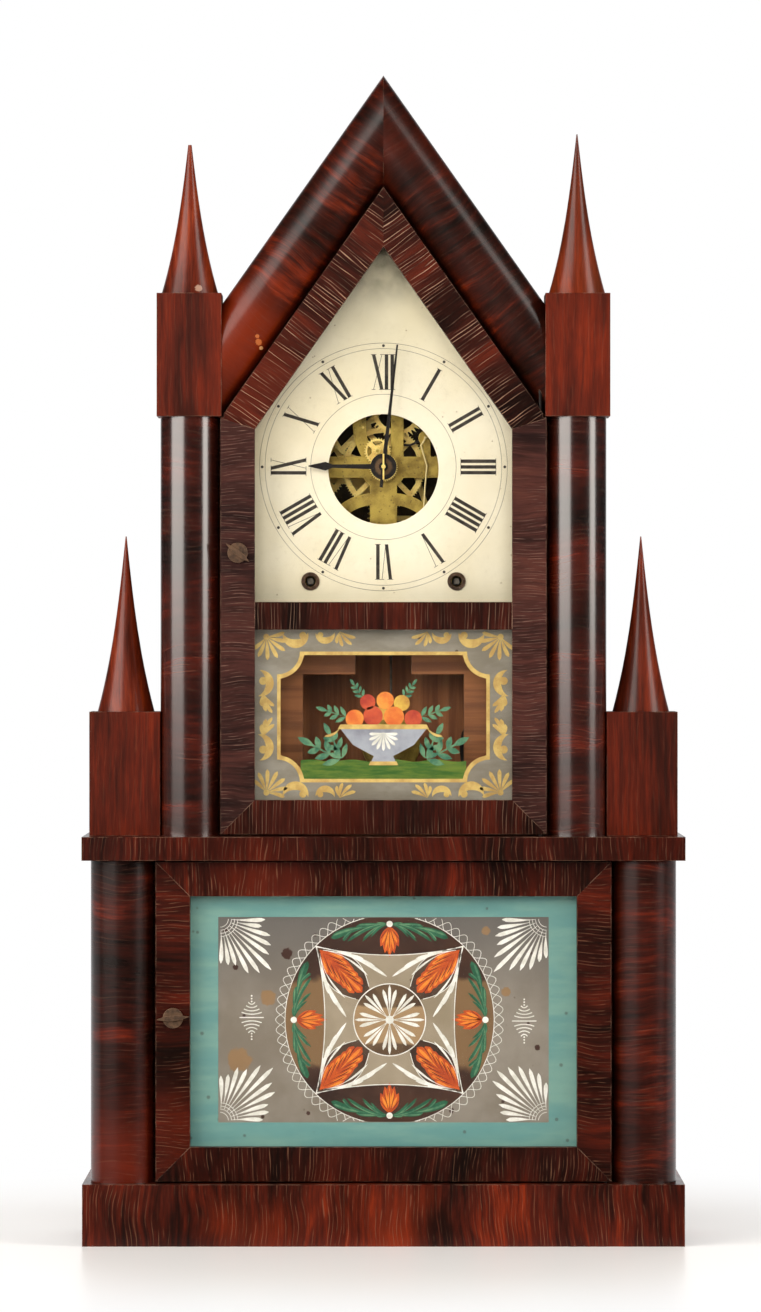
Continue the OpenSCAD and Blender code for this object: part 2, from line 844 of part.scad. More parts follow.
// A turn latch: a rose with a thumb bar in front, a shaft through the stile and a tongue behind
module latch(p, front, plane, bar_l, turn) {
    bar_w = 3;
    bow = (bar_l * bar_l + bar_w * bar_w) / (4 * bar_w);
    tongue_y = plane + front_t + 0.5;
    bar(p, latch_d / 2, front - 1.7, front - 0.1);
    bar(p, latch_shaft_r, front - 0.2, tongue_y + tongue_t);
    translate([p[0], 0, p[1]]) {
        slab(front - 3.7, 2.1) rotate(turn) intersection() {
            translate([0, bow - bar_w / 2]) circle(r = bow);
            translate([0, bar_w / 2 - bow]) circle(r = bow);
        }
        slab(tongue_y, tongue_t) area(-2.5, 2.5, -tongue_l, 2.5);
    }
}

module upper_latch() {
    color([0.70, 0.55, 0.28])
        latch(upper_latch_p, upper_door_front, upper_plane_y, upper_bar_l, upper_bar_turn);
}

module lower_latch() {
    color([0.70, 0.55, 0.28])
        latch(lower_latch_p, lower_door_front, lower_plane_y, lower_bar_l, lower_bar_turn);
}

// Dial

module dial() {
    shoulder = dial_apex - dial_half_w * rise;
    color([0.86, 0.82, 0.70]) difference() {
        slab(dial_y, dial_t) polygon([
            [-dial_half_w, dial_bottom],
            [dial_half_w, dial_bottom],
            [dial_half_w, shoulder],
            [0, dial_apex],
            [-dial_half_w, shoulder]
        ]);
        bar(open_c, dial_open_d / 2, dial_y - 1, dial_y + dial_t + 1);
        bar(winding_p, winding_r, dial_y - 1, dial_y + dial_t + 1);
        bar(strike_p, winding_r, dial_y - 1, dial_y + dial_t + 1);
    }
}

module dial_supports() {
    color([0.50, 0.36, 0.22]) both()
        block([support_x, dial_y + dial_t, dial_bottom - 8.5],
            [upper_inner, dial_y + dial_t + 15, dial_bottom + 83.5]);
}

module winding_grommets() {
    color([0.72, 0.58, 0.30]) for (p = [winding_p, strike_p]) difference() {
        union() {
            bar(p, winding_r + 0.7, dial_y - 0.8, dial_y);
            bar(p, winding_r - run, dial_y - 0.4, dial_y + dial_t);
        }
        bar(p, winding_r - 1.35, dial_y - 2, dial_y + dial_t + 1);
    }
}

// Hands

module minute_hand() {
    color([0.16, 0.13, 0.12]) translate([dial_c[0], 0, dial_c[1]]) difference() {
        union() {
            bar([0, 0], 2.6, minute_hand_y, minute_hand_y + 0.8);
            slab(minute_hand_y, 0.8) rotate(90 - minute_turn)
                polygon([[-12, -0.9], [-12, 0.9], [0, 1.2], [minute_l, 0.5], [minute_l, -0.5], [0, -1.2]]);
        }
        bar([0, 0], centre_arbor_r + run, minute_hand_y - 1, minute_hand_y + 2);
    }
}

module hour_hand() {
    swell = hour_l * 0.773;
    color([0.16, 0.13, 0.12]) translate([dial_c[0], 0, dial_c[1]]) difference() {
        slab(hour_hand_y, 0.8) {
            circle(d = hub_d);
            rotate(180 - minute_turn / 12) polygon([
                [0, -1.6], [swell - 4, -1], [swell, -2.5], [hour_l, -0.3],
                [hour_l, 0.3], [swell, 2.5], [swell - 4, 1], [0, 1.6]
            ]);
        }
        bar([0, 0], pipe_r + run, hour_hand_y - 1, hour_hand_y + 2);
    }
}

// Seat

module seat_rails() {
    top = plate_bottom;
    low = top - seat_t;
    color([0.60, 0.47, 0.30]) both() {
        block([46.5, -2, deck_z], [64, 14, low]);
        difference() {
            block([seat_gap / 2, -2, low], [74, back_plate_y + plate_t + 1, top]);
            block([line_x(low + seat_t / 2) - 4.5, cord_y - 3, low - 1],
                [line_x(low + seat_t / 2) + 4.5, cord_y + 3, top + 1]);
        }
    }
}

// Plates

// Holes for the arbors that both plates carry
module plate_holes(y0, y1) {
    for (p = [second_p, pinwheel_p]) bar(p, second_pivot_r + run, y0, y1);
    for (p = [third_p, escape_p, warning_p, fly_p]) bar(p, pivot_r + run, y0, y1);
    bar(verge_p, fine_r + run, y0, y1);
    for (p = pillar_p) bar(p, pillar_pin_r + run, y0, y1);
}

// An open ring in the front view
module ring(c, r1, r2, y0, t) {
    difference() {
        bar(c, r2, y0, y0 + t);
        bar(c, r1, y0 - 1, y0 + t + 1);
    }
}

module front_plate() {
    c = dial_c[1];
    y0 = front_plate_y;
    y1 = front_plate_y + plate_t;
    color([0.74, 0.58, 0.30]) {
        difference() {
            union() {
                slab(y0, plate_t) {
                    area(-plate_half_w, plate_half_w, plate_bottom, c - 72.9);
                    both() area(plate_half_w - 12, plate_half_w, plate_bottom, plate_top);
                    area(-plate_half_w, plate_half_w, plate_top - 12, plate_top);
                    area(-plate_half_w, plate_half_w, c - 5.9, c + 6.3);
                    area(-7.8, 7.8, plate_bottom, c);
                    area(escape_p[0] - 3.6, escape_p[0] + 3.6, c, plate_top);
                    area(verge_p[0] - 3, verge_p[0] + 3, c, verge_p[1]);
                    area(-plate_half_w, fly_p[0], fly_p[1] - 3, fly_p[1] + 3);
                }
                bar(dial_c, 13, y0, y1);
                bar(verge_p, 4, y0, y1);
                bar(fly_p, 4, y0, y1);
                bar(count_p, 5, y0, y1);
                bar(winding_p, 9, y0, y1);
                bar(strike_p, 9, y0, y1);
                both() intersection() {
                    ring([6, c - 44.9], 23, 30, y0, plate_t);
                    block([5, y0, c - 85], [40, y1, c]);
                }
                intersection() {
                    ring([20, c + 25.1], 30.3, 37.7, y0, plate_t);
                    block([-20, y0, c + 5], [8, y1, plate_top - 6]);
                }
            }
            plate_holes(y0 - 1, y1 + 1);
            bar(dial_c, centre_arbor_r + run, y0 - 1, y1 + 1);
            bar(hammer_p, pivot_r + run, y0 - 1, y1 + 1);
            for (p = [winding_p, strike_p]) bar(p, winding_arbor_r + run, y0 - 1, y1 + 1);
        }
        bar(motion_p, motion_stud_r, hour_y - 0.6, y0);
        bar(count_p, count_stud_r, count_y - 0.6, y0);
    }
}

module back_plate() {
    c = dial_c[1];
    y0 = back_plate_y;
    y1 = back_plate_y + plate_t;
    color([0.72, 0.56, 0.28]) {
        difference() {
            slab(y0, plate_t) difference() {
                area(-plate_half_w, plate_half_w, plate_bottom, plate_top);
                both() area(36, plate_half_w - 8, c - 52.9, c - 8.9);
                area(32, plate_half_w - 8, c + 3.1, plate_top - 10);
                area(8 - plate_half_w, -44, c + 11.1, plate_top - 10);
            }
            plate_holes(y0 - 1, y1 + 1);
            bar(dial_c, pivot_r + run, y0 - 1, y1 + 1);
            bar(hammer_p, hammer_arbor_r + run, y0 - 1, y1 + 1);
            for (p = [winding_p, strike_p]) bar(p, winding_pivot_r + run, y0 - 1, y1 + 1);
        }
        bar(pendulum_p, 2.5, y1, pendulum_y - 1.9);
        bar(pendulum_p, pendulum_pin_r, y1, pendulum_y + 3.5);
    }
}

module plate_pillars() {
    color([0.70, 0.54, 0.26]) for (p = pillar_p) {
        bar(p, 3, inside_y, back_plate_y);
        bar(p, pillar_pin_r, front_plate_y - 2, back_plate_y + plate_t + 2);
    }
}

// Wheels

// Outline of a wheel or a pinion with its first tooth along X
module teeth(n, m, add, ded, root, tip) {
    polygon([
        for (i = [0 : n - 1], q = [[-root, -ded], [-tip, add], [tip, add], [root, -ded]])
            polar((n / 2 + q[1]) * m, (i + q[0]) * 360 / n)
    ]);
}

module bore(r) {
    circle(r = (r + run) / cos(180 / hole_side), $fn = hole_side);
}

// The opening between two spokes
module window(r1, r2, span) {
    h1 = asin(spoke_w / 2 / r1);
    h2 = asin(spoke_w / 2 / r2);
    polygon(concat(
        [for (i = [0 : 4]) polar(r1, h1 + (span - 2 * h1) * i / 4)],
        [for (i = [6 : -1 : 0]) polar(r2, h2 + (span - 2 * h2) * i / 6)]
    ));
}

module wheel(p, n, m, y0, t, arbor_r, r1, r2, spokes) {
    translate([p[0], 0, p[1]]) slab(y0, t) difference() {
        teeth(n, m, wheel_add, wheel_ded, 0.24, 0.08);
        bore(arbor_r);
        for (i = [0 : spokes - 1]) rotate((i + 0.5) * 360 / spokes) window(r1, r2, 360 / spokes);
    }
}

module pinion(p, n, m, turn, y0, t, arbor_r) {
    translate([p[0], 0, p[1]]) slab(y0, t) rotate(turn) difference() {
        teeth(n, m, leaf_add, leaf_ded, 0.17, 0.10);
        bore(arbor_r);
    }
}

// An arbor between the plates with a pivot at each end
module arbor(p, r, pivot) {
    bar(p, r, inside_y + 0.2, back_plate_y - 0.2);
    bar(p, pivot, front_plate_y - 0.3, back_plate_y + plate_t + 0.3);
}

module centre_arbor() {
    color([0.75, 0.60, 0.32]) {
        bar(centre_p, centre_arbor_r, hand_pin_y - 1.3, back_plate_y - 0.2);
        bar(centre_p, pivot_r, back_plate_y - 1, back_plate_y + plate_t + 0.3);
        translate([centre_p[0], hand_pin_y, centre_p[1] - 7.5]) cylinder(r = 0.5, h = 14.8);
        wheel(centre_p, centre_n, centre_m, centre_y, wheel_t, centre_arbor_r, 6, 20.5, 4);
        pinion(centre_p, leaves, second_m, mesh(second_p, centre_p, second_n, leaves),
            second_y - 0.6, wheel_t + 1.2, centre_arbor_r);
        pinion(centre_p, motion_leaves, motion_m, mesh(motion_p, centre_p, motion_n, motion_leaves),
            motion_y - 0.4, wheel_t + 0.8, centre_arbor_r);
    }
}

module hour_wheel() {
    color([0.76, 0.62, 0.34]) {
        wheel(centre_p, hour_n, hour_m, hour_y, wheel_t, pipe_r, 3.6, 6.4, 4);
        difference() {
            bar(centre_p, pipe_r, hour_hand_y + 0.1, hour_y + wheel_t + 0.2);
            bar(centre_p, centre_arbor_r + run, hour_hand_y - 1, hour_y + wheel_t + 1);
        }
    }
}

module motion_wheel() {
    color([0.76, 0.62, 0.34]) {
        wheel(motion_p, motion_n, motion_m, motion_y, wheel_t, motion_stud_r, 3.4, 6, 4);
        pinion(motion_p, motion_leaves, hour_m, mesh(centre_p, motion_p, hour_n, motion_leaves),
            hour_y - 0.3, motion_y - hour_y + 0.3, motion_stud_r);
        difference() {
            bar(motion_p, 1.9, motion_y + wheel_t + 0.1, front_plate_y - 0.4);
            bar(motion_p, motion_stud_r + run, motion_y, front_plate_y);
        }
    }
}

module second_wheel() {
    color([0.74, 0.58, 0.30]) {
        arbor(second_p, second_arbor_r, second_pivot_r);
        pinion(second_p, leaves, great_m, mesh(winding_p, second_p, great_n, leaves),
            great_y - 0.6, great_t + 1.2, second_arbor_r);
        wheel(second_p, second_n, second_m, second_y, wheel_t, second_arbor_r, 8, 31, 5);
    }
}

module third_wheel() {
    color([0.74, 0.58, 0.30]) {
        arbor(third_p, fine_r, pivot_r);
        pinion(third_p, leaves, centre_m, mesh(centre_p, third_p, centre_n, leaves),
            centre_y - 0.6, wheel_t + 1.2, fine_r);
        wheel(third_p, third_n, third_m, third_y, wheel_t, fine_r, 5, 16.5, 4);
    }
}

module escape_wheel() {
    pitch = 360 / escape_n;
    root = escape_r - escape_depth;
    turn = verge_turn + pallet_half - 0.62 * pitch;
    color([0.80, 0.64, 0.34]) {
        arbor(escape_p, fine_r, pivot_r);
        pinion(escape_p, third_leaves, third_m, mesh(third_p, escape_p, third_n, third_leaves),
            third_y - 0.6, wheel_t + 1.2, fine_r);
        translate([escape_p[0], 0, escape_p[1]]) slab(escape_y, wheel_t) rotate(turn) difference() {
            polygon([
                for (i = [0 : escape_n - 1],
                    q = [[-0.32, root], [0.09, escape_r], [0.15, escape_r], [0.32, root]])
                    polar(q[1], (i + q[0]) * pitch)
            ]);
            bore(fine_r);
            for (i = [0 : 3]) rotate(i * 90) window(4, 11.8, 90);
        }
    }
}

// Escapement and pendulum

// One arm of the verge, seen with the escape wheel at the middle and the verge arbor along X
module verge_arm() {
    elbow = polar(escape_r + 4.9, pallet_half * 0.58);
    heel = polar(escape_r + 3.2, pallet_half);
    strip([norm(verge_p - escape_p), 0], elbow, 1.2);
    translate(elbow) circle(r = 0.6, $fn = 12);
    strip(elbow, heel, 1.2);
    translate(heel) circle(r = 0.6, $fn = 12);
    strip(polar(escape_r + pallet_clear, pallet_half), heel, 0.6);
}

module verge() {
    crutch_y = back_plate_y + plate_t + 0.9;
    crutch_p = [pendulum_x, dial_c[1] - 6.7];
    fork = 2.05;
    path = [
        verge_p - [0.3, 0.9], dial_c + [21.7, 12.6], dial_c + [25.1, 1],
        dial_c + [24, -11.7], dial_c + [23.4, -23.3]
    ];
    color([0.30, 0.28, 0.27]) {
        bar(verge_p, fine_r, front_plate_y - 2.6, crutch_y + 1);
        bar(verge_p, 2.5, escape_y - 0.3, escape_y + 2.1);
        translate([escape_p[0], 0, escape_p[1]]) slab(escape_y - 0.3, 2.4) rotate(verge_turn) {
            verge_arm();
            mirror([0, 1]) verge_arm();
        }
        slab(crutch_y, 1) strip(verge_p, crutch_p, 1.6);
        block([crutch_p[0] - fork, crutch_y, crutch_p[1] - 2],
            [crutch_p[0] + fork, crutch_y + 1, crutch_p[1] + 2]);
        for (x = [-fork, fork - 1])
            block([crutch_p[0] + x, crutch_y, crutch_p[1] - 2],
                [crutch_p[0] + x + 1, pendulum_y + 2, crutch_p[1] + 2]);
    }
    color([0.78, 0.74, 0.66]) for (i = [0 : 3]) {
        wire(path[i], path[i + 1], 0.5, front_plate_y - 2);
        translate([path[i + 1][0], front_plate_y - 2, path[i + 1][1]]) sphere(r = 0.62, $fn = 24);
    }
}

module pendulum_rod() {
    foot = bob_z - bob_r - 5;
    color([0.62, 0.58, 0.50]) {
        difference() {
            union() {
                bar(pendulum_p, 2.6, pendulum_y - 1.7, pendulum_y + 1.7);
                translate([pendulum_x, pendulum_y, foot]) cylinder(r = rod_r, h = pendulum_p[1] - foot);
            }
            bar(pendulum_p, pendulum_pin_r + run, pendulum_y - 3, pendulum_y + 3);
        }
        translate([pendulum_x, pendulum_y, foot + 1]) cylinder(r = 2.2, h = 3);
    }
}

module pendulum_bob() {
    ball = (bob_r * bob_r + bob_t * bob_t / 4) / bob_t;
    z = bob_z;
    color([0.78, 0.62, 0.32]) difference() {
        translate([pendulum_x, pendulum_y, z]) intersection() {
            translate([0, ball - bob_t / 2, 0]) sphere(r = ball, $fn = 160);
            translate([0, bob_t / 2 - ball, 0]) sphere(r = ball, $fn = 160);
        }
        translate([pendulum_x, pendulum_y, z - bob_r - 1]) cylinder(r = rod_r + run, h = 2 * bob_r + 2);
    }
}

// Winding drums and clicks, drawn for the time side and mirrored for the strike side

module great_wheel(p) {
    wheel(p, great_n, great_m, great_y, great_t, winding_arbor_r, 17.5, 29, 6);
    difference() {
        bar(p, 4.5, great_y - 1, great_y - 0.1);
        bar(p, winding_arbor_r + run, great_y - 2, great_y + 1);
    }
    translate([p[0] + click_p[0], 0, p[1] + click_p[1]]) slab(great_y + great_t, ratchet_t + 0.6)
        circle(r = click_r, $fn = 12);
}

module time_great_wheel() {
    color([0.72, 0.56, 0.28]) great_wheel(winding_p);
}

module strike_great_wheel() {
    color([0.72, 0.56, 0.28]) great_wheel(strike_p);
}

module ratchet() {
    pitch = 360 / ratchet_n;
    difference() {
        polygon([
            for (i = [0 : ratchet_n - 1], r = [ratchet_r - ratchet_depth, ratchet_r])
                polar(r, ratchet_turn + i * pitch)
        ]);
        bore(winding_arbor_r);
    }
}

module drum() {
    translate([winding_p[0], 0, winding_p[1]]) {
        slab(ratchet_y, ratchet_t) ratchet();
        slab(front_plate_y - 10, 7) square(square_w, center = true);
        bar([0, 0], winding_arbor_r, front_plate_y - 3, back_plate_y - 0.2);
        bar([0, 0], winding_pivot_r, back_plate_y - 1, back_plate_y + plate_t + 0.3);
        bar([0, 0], flange_r, drum_y, drum_y + flange_t);
        bar([0, 0], drum_r, drum_y + flange_t - 0.1, drum_y + flange_t + drum_t + 0.1);
        bar([0, 0], flange_r, drum_y + flange_t + drum_t, drum_y + drum_t + 2 * flange_t);
    }
}

module time_drum() {
    color([0.62, 0.56, 0.44]) drum();
}

module strike_drum() {
    color([0.62, 0.56, 0.44]) mirror([1, 0, 0]) drum();
}

// A click beside its ratchet, with the nib just clear of the teeth
module click() {
    translate([winding_p[0], 0, winding_p[1]]) slab(ratchet_y, ratchet_t) translate(click_p)
        difference() {
            union() {
                circle(r = 2);
                rotate(225.4) polygon([
                    [0, -1.2], [2, -0.8], [7.5, 0.15], [8.8, 0.1], [9.6, -0.35],
                    [10.68, -0.4], [10.68, 0.75], [7, 1.25], [0, 1.6]
                ]);
            }
            circle(r = click_r + run);
        }
}

module time_click() {
    color([0.45, 0.42, 0.40]) click();
}

module strike_click() {
    color([0.45, 0.42, 0.40]) mirror([1, 0, 0]) click();
}

// Striking train

module pin_wheel() {
    color([0.74, 0.58, 0.30]) {
        arbor(pinwheel_p, second_arbor_r, second_pivot_r);
        bar(pinwheel_p, second_pivot_r, count_y - 0.6, front_plate_y);
        pinion(pinwheel_p, leaves, great_m, mesh(strike_p, pinwheel_p, great_n, leaves),
            great_y - 0.6, great_t + 1.2, second_arbor_r);
        wheel(pinwheel_p, pinwheel_n, pinwheel_m, pinwheel_y, wheel_t, second_arbor_r, 7, 20.5, 4);
        translate([pinwheel_p[0], 0, pinwheel_p[1]]) slab(pinwheel_y - 3, 3)
            for (i = [0 : strike_pins - 1])
                translate(polar(pin_ring_r, (i + 0.5) * 360 / strike_pins)) circle(r = 1, $fn = 12);
        pinion(pinwheel_p, leaves, count_m, mesh(count_p, pinwheel_p, count_n, leaves),
            count_y - 0.4, wheel_t + 0.8, second_pivot_r);
    }
}

module warning_wheel() {
    color([0.74, 0.58, 0.30]) {
        arbor(warning_p, fine_r, pivot_r);
        pinion(warning_p, leaves, pinwheel_m, mesh(pinwheel_p, warning_p, pinwheel_n, leaves),
            pinwheel_y - 0.6, wheel_t + 1.2, fine_r);
        wheel(warning_p, warning_n, warning_m, warning_y, wheel_t, fine_r, 5, 15.5, 4);
    }
}

module fly() {
    color([0.74, 0.58, 0.30]) {
        arbor(fly_p, fine_r, pivot_r);
        pinion(fly_p, leaves, warning_m, mesh(warning_p, fly_p, warning_n, leaves),
            warning_y - 0.6, wheel_t + 1.2, fine_r);
        translate([fly_p[0], 0, fly_p[1]]) slab(fly_y, 8) rotate(25) square([26, 0.7], center = true);
    }
}

// The count wheel has a notch after each count of blows from one to twelve
module count_wheel() {
    rim = (count_n / 2 - wheel_ded) * count_m;
    color([0.76, 0.62, 0.34]) {
        translate([count_p[0], 0, count_p[1]]) slab(count_y, wheel_t) difference() {
            teeth(count_n, count_m, wheel_add, wheel_ded, 0.24, 0.08);
            bore(3);
            for (i = [0 : 3]) rotate((i + 0.5) * 90) window(5, 14, 90);
            for (n = [1 : 12]) rotate(n * (n + 1) / 2 * 360 / count_n + 180 / count_n)
                translate([rim - 4.5, -0.5]) square([3.5, 1]);
        }
        difference() {
            bar(count_p, 3, count_y - 0.2, count_y + wheel_t + 0.8);
            bar(count_p, count_stud_r + run, count_y - 1, front_plate_y);
        }
    }
}

module hammer() {
    tail_l = norm(pinwheel_p - hammer_p) - pin_ring_r - 1.5;
    tail_p = hammer_p + polar(tail_l, bearing(hammer_p, pinwheel_p));
    color([0.50, 0.48, 0.45]) {
        bar(hammer_p, hammer_arbor_r, inside_y + 0.2, hammer_y + 0.9);
        bar(hammer_p, pivot_r, front_plate_y - 0.3, inside_y + 1);
        slab(pinwheel_y - 2.6, 2) strip(hammer_p, tail_p, 1.6);
        bar(hammer_p, 2.4, pinwheel_y - 3, pinwheel_y - 0.6);
        wire(hammer_p, head_p, 0.8, hammer_y);
    }
    color([0.66, 0.50, 0.28]) wire(gong_p + polar(head_reach - 3.3, bearing(gong_p, head_p)),
        gong_p + polar(head_reach + 3.3, bearing(gong_p, head_p)), 3.8, hammer_y - 1.4);
}

// The gong is one unbroken coil with six sides

function coil_at(i) = let (
    a = gong_end - 360 * (gong_turns - i / coil_rings),
    r = gong_inner + (gong_r - gong_inner) * i / (coil_rings * gong_turns)
) [polar(r, a), a];

module gong() {
    count = coil_rings * gong_turns;
    sides = 6;
    wire_r = gong_wire_d / 2;
    points = [
        for (i = [0 : count], j = [0 : sides - 1]) let (c = coil_at(i), q = polar(wire_r, j * 360 / sides))
            [gong_p[0] + c[0][0] + q[0] * cos(c[1]), gong_y + q[1], gong_p[1] + c[0][1] + q[0] * sin(c[1])]
    ];
    sheets = [
        for (i = [0 : count - 1], j = [0 : sides - 1], k = [0, 1]) let (
            a = i * sides + j,
            b = i * sides + (j + 1) % sides
        ) k == 0 ? [a, a + sides, b + sides] : [a, b + sides, b]
    ];
    color([0.35, 0.33, 0.34]) polyhedron(
        points = points,
        faces = concat(sheets, [[for (j = [0 : sides - 1]) j]],
            [[for (j = [sides - 1 : -1 : 0]) count * sides + j]])
    );
    color([0.30, 0.28, 0.28]) bar(gong_p, gong_inner - wire_r - 0.1, gong_y - 4.5, backboard_y);
}

// Spring drive

module leaf_spring() {
    color([0.42, 0.42, 0.44]) for (i = [0 : leaf_count - 1]) {
        low_r = leaf_bend_r + (i + 1) * (leaf_t + leaf_gap);
        reach = leaf_half * (1 - 0.85 * i / leaf_count);
        sweep = asin(reach / low_r);
        difference() {
            translate([0, spring_y + leaf_w / 2, leaf_c]) rotate([90, 0, 0]) rotate([0, 0, 270 - sweep])
                rotate_extrude(angle = 2 * sweep, $fn = 360)
                    translate([low_r - leaf_t, 0]) square([leaf_t, leaf_w]);
            if (i == 0) both() translate([spring_cord_x, spring_cord_y, base_top])
                cylinder(r = spring_cord_r + 0.3, h = 100);
        }
    }
    color([0.22, 0.22, 0.23]) {
        block([-8, spring_y - clamp_half, clamp_z], [8, spring_y + clamp_half, clamp_z + 6]);
        for (s = [-1, 1]) translate([0, spring_y + s * bolt_y, clamp_z - 14]) cylinder(r = bolt_r, h = 15);
        for (s = [-1, 1]) translate([0, spring_y + s * bolt_y, clamp_z + 5.9])
            cylinder(r = 2.4, h = 2, $fn = 6);
    }
}

module pulley() {
    back = spring_y + 19;
    groove = back - cord_y;
    face = groove + 3;
    color([0.58, 0.40, 0.24]) difference() {
        translate([pulley_p[0], back, pulley_p[1]]) rotate([90, 0, 0]) rotate_extrude($fn = 96) polygon([
            [stud_r + run, 0], [hub_r + 2.4, 0], [hub_r + 2.4, 1.2], [hub_r, 1.2], [hub_r, groove - 3],
            [12, groove - 3], [12, groove - 1.5], [31, groove - 1.5], [31, groove - 3],
            [pulley_r + 3.5, groove - 3], [pulley_r + 3.5, groove - 2.2], [pulley_r, groove - 1.3],
            [pulley_r, groove + 1.3], [pulley_r + 3.5, groove + 2.2], [pulley_r + 3.5, face],
            [31, face], [31, groove + 1.5], [12, groove + 1.5], [12, face], [stud_r + run, face]
        ]);
        for (i = [0 : 4]) bar(pulley_p + polar(21.5, 90 + i * 72), 6, cord_y - 4, cord_y + 4);
    }
}

module time_pulley() {
    pulley();
}

module strike_pulley() {
    mirror([1, 0, 0]) pulley();
}

module pulley_studs() {
    color([0.40, 0.38, 0.36]) both() {
        bar(pulley_p, stud_r, cord_y - 4, backboard_y);
        bar(pulley_p, 6, cord_y - 5.5, cord_y - 3.1);
    }
}

// A gut line runs from each drum under its pulley, and a cord from each hub down to the spring
module drive_cords() {
    tip_angle = asin(spring_cord_x / (leaf_bend_r + leaf_t));
    tip_z = leaf_c - (leaf_bend_r + leaf_t + leaf_gap) * cos(tip_angle);
    color([0.74, 0.64, 0.44]) both() {
        wire(line_top + polar(seam, line_turn - 90), line_foot - polar(seam, line_turn - 90), gut_r, cord_y);
        bent(winding_p, drum_run, gut_r, line_turn, 270, cord_y);
        bent(pulley_p, pulley_run, gut_r, 180 + line_turn, 190, cord_y);
    }
    color([0.45, 0.36, 0.26]) both() {
        translate([spring_cord_x, spring_cord_y, tip_z - 3])
            cylinder(r = spring_cord_r, h = pulley_p[1] - tip_z + 3 - seam);
        bent(pulley_p, spring_cord_run, spring_cord_r, 0, 180, spring_cord_y);
        translate([spring_cord_x, spring_cord_y, tip_z - 3.6]) sphere(r = 2.2);
    }
}

plinth();
base_board();
lower_carcass();
lower_backboard();
lower_columns();
ledge();
upper_carcass();
roof();
upper_backboard();
upper_columns();
gable_mouldings();
spire_blocks();
spires();
paper_label();
upper_door_stiles();
upper_door_rails();
dial_glass();
upper_tablet();
upper_door_pins();
lower_door_stiles();
lower_door_rails();
lower_tablet();
lower_door_pins();
upper_latch();
lower_latch();
dial();
dial_supports();
winding_grommets();
seat_rails();
front_plate();
back_plate();
plate_pillars();
centre_arbor();
minute_hand();
hour_wheel();
hour_hand();
motion_wheel();
second_wheel();
time_great_wheel();
time_drum();
time_click();
third_wheel();
escape_wheel();
verge();
pendulum_rod();
pendulum_bob();
pin_wheel();
strike_great_wheel();
strike_drum();
strike_click();
warning_wheel();
fly();
count_wheel();
hammer();
gong();
leaf_spring();
time_pulley();
strike_pulley();
pulley_studs();
drive_cords();
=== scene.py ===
"""Looks of the double steeple clock: finishes, painted dial and tablets, floor, lights and camera."""
import json
import math
import random

import bmesh
import bpy
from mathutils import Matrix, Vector


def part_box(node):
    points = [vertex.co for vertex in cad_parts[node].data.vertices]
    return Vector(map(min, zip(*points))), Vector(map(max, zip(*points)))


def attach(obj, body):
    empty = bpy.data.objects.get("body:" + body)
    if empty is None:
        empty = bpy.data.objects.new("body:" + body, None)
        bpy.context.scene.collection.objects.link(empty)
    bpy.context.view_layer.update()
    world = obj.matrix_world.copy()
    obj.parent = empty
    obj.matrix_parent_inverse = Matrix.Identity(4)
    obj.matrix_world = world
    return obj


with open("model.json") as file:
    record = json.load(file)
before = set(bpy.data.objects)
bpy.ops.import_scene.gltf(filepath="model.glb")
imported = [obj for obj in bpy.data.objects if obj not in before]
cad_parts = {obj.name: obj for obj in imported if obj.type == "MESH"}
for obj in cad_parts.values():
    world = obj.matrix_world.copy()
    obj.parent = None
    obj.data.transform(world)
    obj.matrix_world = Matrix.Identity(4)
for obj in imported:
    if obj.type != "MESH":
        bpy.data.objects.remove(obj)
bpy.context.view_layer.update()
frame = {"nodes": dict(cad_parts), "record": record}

# Places, in metres, from the frame
JOINTS = {j["name"]: j["pos_m"] for j in frame["record"]["behaviour"]["joints"]}
DIAL_X, DIAL_Z = JOINTS["minute_spin"][0], JOINTS["minute_spin"][2]
DIAL_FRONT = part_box("dial")[0][1]
DIAL_FOOT, DIAL_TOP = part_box("dial")[0][2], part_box("dial")[1][2]
GABLE_SLOPE = math.radians(54.8)
GABLE_FOOT = 0.42  # from here up the rails of the upper door slope
SLOPE_APART = 3.7  # keeps the figure of the two slopes different
UPPER_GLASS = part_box("upper_tablet")
LOWER_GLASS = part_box("lower_tablet")
BARE_EDGE = 0.0006  # from the rim of a tablet's glass to the paint
COAT = 0.00004  # thickness of a coat of paint
LAYER = 0.00007  # from one coat of paint to the next
THIN_COAT = 0.00001  # where strokes cross
STAGGER = 0.000012  # between strokes of one coat that cross
rng = random.Random(7)


def linear(value):
    """One screen colour value of 0 to 255 as linear light."""
    share = value / 255
    return share / 12.92 if value < 11 else ((share + 0.055) / 1.055) ** 2.4


def rgb(r, g, b):
    return linear(r), linear(g), linear(b), 1.0


def scaled(tint, by):
    return tuple(min(1.0, c * by) for c in tint[:3]) + (1.0,)


def new_object(name, data):
    thing = bpy.data.objects.new(name, data)
    bpy.context.scene.collection.objects.link(thing)
    return thing


def preset(node, values):
    for name, value in values.items():
        node.inputs[name].default_value = value


def feed(socket, value):
    """Links an output to a socket, or sets a plain value on it."""
    if isinstance(value, bpy.types.NodeSocket):
        socket.id_data.links.new(value, socket)
    else:
        socket.default_value = value


def fill(node, *values):
    """Feeds a node's first inputs and gives back its first output."""
    for socket, value in zip(node.inputs, values):
        feed(socket, value)
    return node.outputs[0]


# Shader building


ARRIS = (0.985, 0.80)  # cosine between the plain and the bevelled normal, where the edge band starts and is full: wear and dust on wood, a painted highlight on metal
